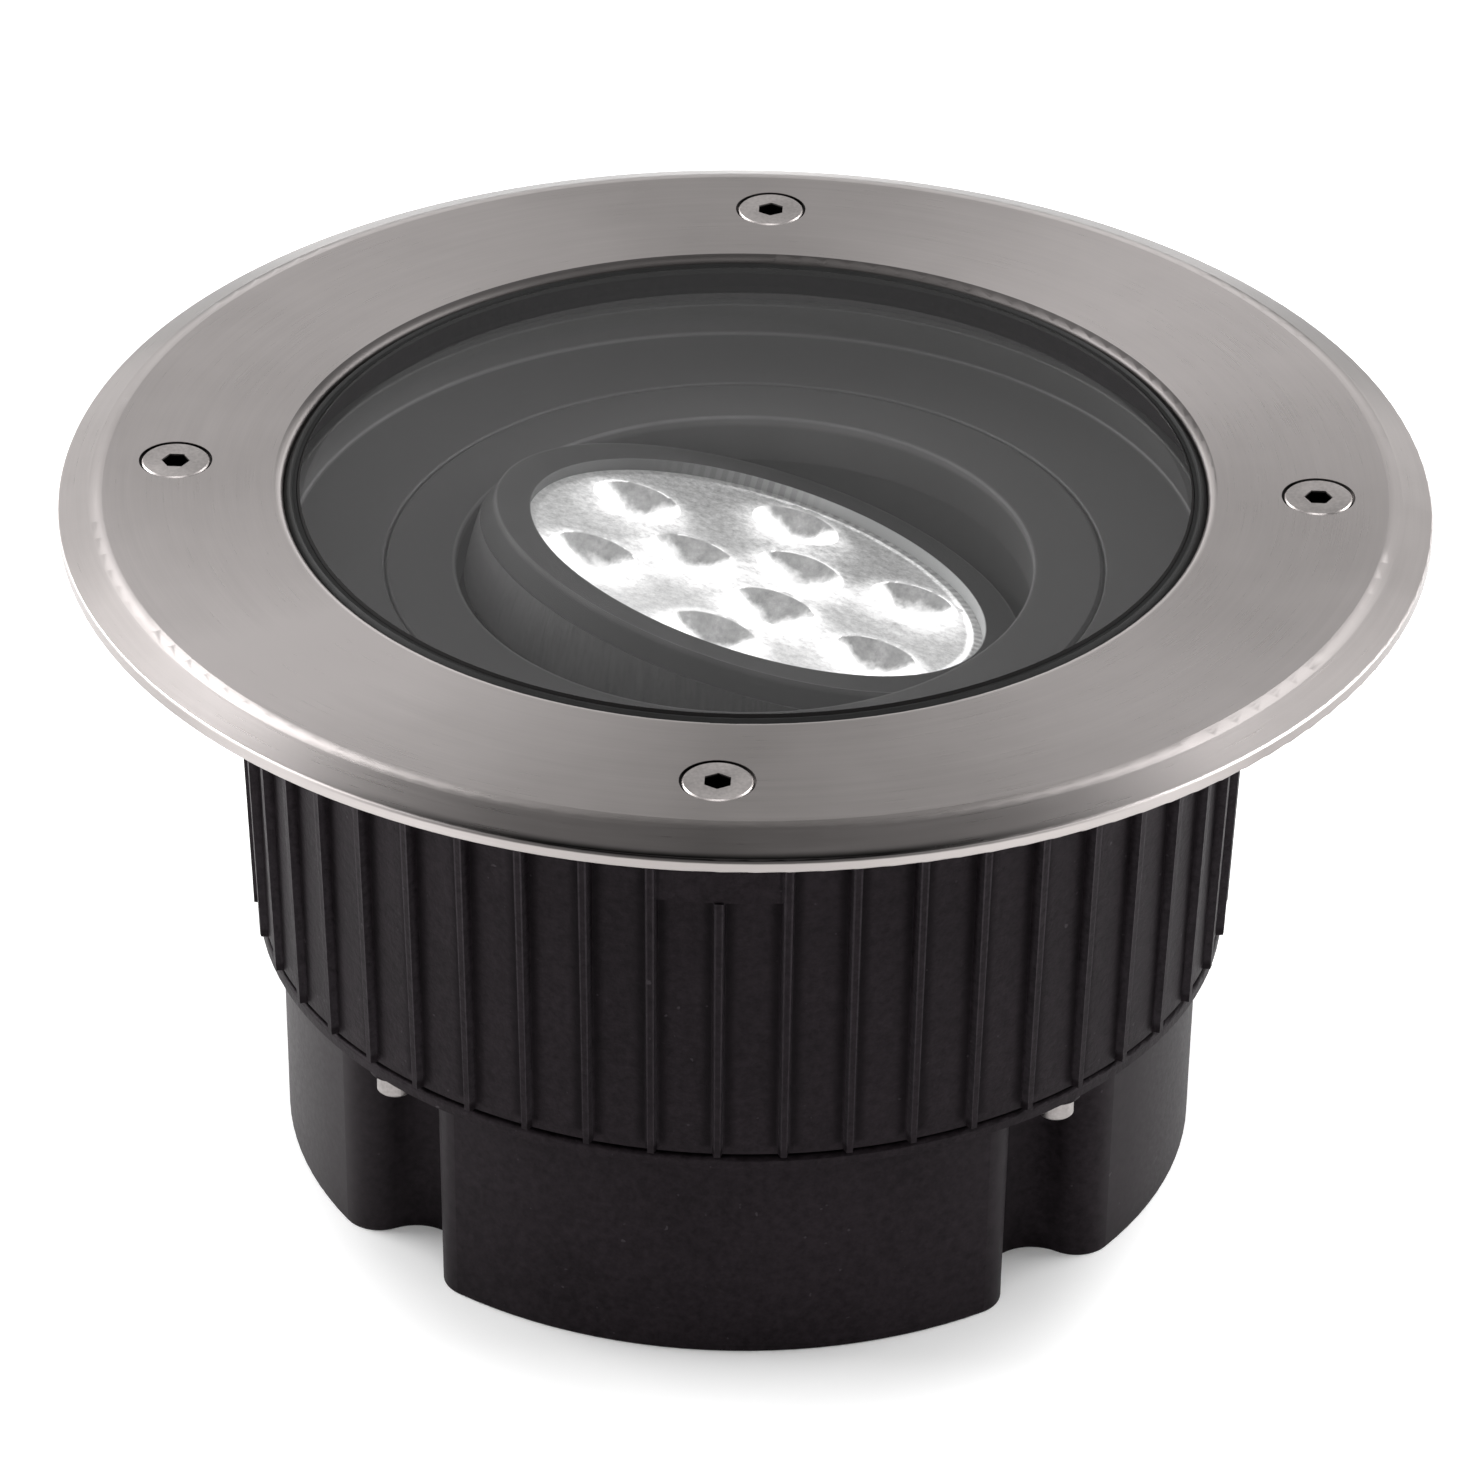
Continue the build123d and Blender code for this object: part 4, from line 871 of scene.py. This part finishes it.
def lens_optic():
    """The lit lens: front face and nine cups in one skin, in place in the tilted head."""
    finish = lit_lens("lit_lens")
    pattern = cup_pattern()
    whole = bmesh.new()
    lens_face(whole)
    for cups in (INNER_CUPS, OUTER_CUPS):
        whole.from_mesh(ring_of(pattern, *cups, finish))
    bpy.data.objects.remove(pattern)
    bmesh.ops.remove_doubles(whole, verts=whole.verts, dist=MERGE_GAP)
    bmesh.ops.recalc_face_normals(whole, faces=whole.faces)
    if sum(face.normal.z * face.calc_area() for face in whole.faces) < 0:
        bmesh.ops.reverse_faces(whole, faces=whole.faces)
    mesh = bpy.data.meshes.new("lens_optic")
    whole.to_mesh(mesh)
    whole.free()
    mesh.transform(HEAD @ Matrix.Translation((0, 0, LENS_FRONT)))
    mesh.materials.clear()
    mesh.materials.append(finish)
    piece = link("lens_optic", mesh)
    skin = piece.modifiers.new("skin", "SOLIDIFY")
    skin.thickness = LENS_SKIN
    skin.offset = -1.0
    return piece


lens = lens_optic()
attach(lens, "head")
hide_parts("lens_plate")


def floor_piece():
    bm = bmesh.new()
    bmesh.ops.create_grid(bm, x_segments=8, y_segments=8, size=FLOOR_SIZE)
    mesh = bpy.data.meshes.new("floor")
    bm.to_mesh(mesh)
    bm.free()
    mesh.materials.append(pale_floor("white_floor"))
    return link("floor", mesh)


floor_piece()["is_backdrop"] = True


def softbox(name, place, width, height, power):
    """A rectangular area lamp at a place, turned to the middle of the light."""
    lamp = bpy.data.lights.new(name, "AREA")
    lamp.shape = "RECTANGLE"
    lamp.size = width
    lamp.size_y = height
    lamp.energy = power
    made = link(name, lamp)
    made.location = place
    made.rotation_euler = (MIDDLE - Vector(place)).to_track_quat("-Z", "Y").to_euler()


def studio():
    """The room: bright walls, dim overhead and in front, a flag where the glass would mirror the wall."""
    world = bpy.data.worlds.new("studio")
    world.use_nodes = True
    room = Nodes(world.node_tree)
    ray = room.add("ShaderNodeTexCoord", out="Generated")
    _, y, z = room.split(ray)
    rise = z.above(math.sin(WALL_TOP), math.sin(CEILING_EDGE))
    sockets = {0: ray, 1: FLAG_WAY}
    toward = room.add("ShaderNodeVectorMath", {"operation": "DOT_PRODUCT"}, sockets, out="Value")
    flag = toward.above(math.cos(FLAG_EDGE), math.cos(FLAG_CORE))
    front = 1 - y.above(-0.80, -0.10)
    level = WALL_LEVEL - rise * (WALL_LEVEL - CEILING_LEVEL)
    background = world.node_tree.nodes["Background"]
    background.inputs["Color"].default_value = (1.0, 1.0, 1.0, 1.0)
    room.feed(background.inputs["Strength"], level * (1 - flag * 0.27) * (1 - front * 0.6))
    bpy.context.scene.world = world


for box in SOFTBOXES:
    softbox(*box)
studio()
bpy.context.scene.view_settings.view_transform = "Standard"


def photo_camera():
    """The photograph's camera, aimed so that the middle of the trim's top falls on its pixel."""
    camera = bpy.data.cameras.new("photo_camera")
    camera.sensor_width = SENSOR
    camera.lens = SENSOR * FOCAL_PIXELS / FRAME_PIXELS
    camera.clip_end = VIEW_END
    level = math.cos(VIEW_RISE)
    back = Vector((level * math.cos(VIEW_TURN), level * math.sin(VIEW_TURN), math.sin(VIEW_RISE)))
    made = link("photo_camera", camera)
    made.location = Vector((0, 0, TRIM_TOP)) + VIEW_DISTANCE * back
    side = (TRIM_PIXEL[0] - FRAME_PIXELS / 2) / FOCAL_PIXELS
    rise = (FRAME_PIXELS / 2 - TRIM_PIXEL[1]) / FOCAL_PIXELS
    facing = back.to_track_quat("Z", "Y").to_matrix()
    spin = Matrix.Rotation(VIEW_ROLL, 3, "Z")
    offset = spin @ Vector((side, rise, -1.0))
    correct = offset.rotation_difference(Vector((0, 0, -1.0))).to_matrix()
    made.rotation_euler = (facing @ correct @ spin).to_euler()
    bpy.context.scene.camera = made


photo_camera()

boxes = {"cad": cad_box, "visual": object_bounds()}
{name: [list(corner) for corner in box] for name, box in boxes.items()}
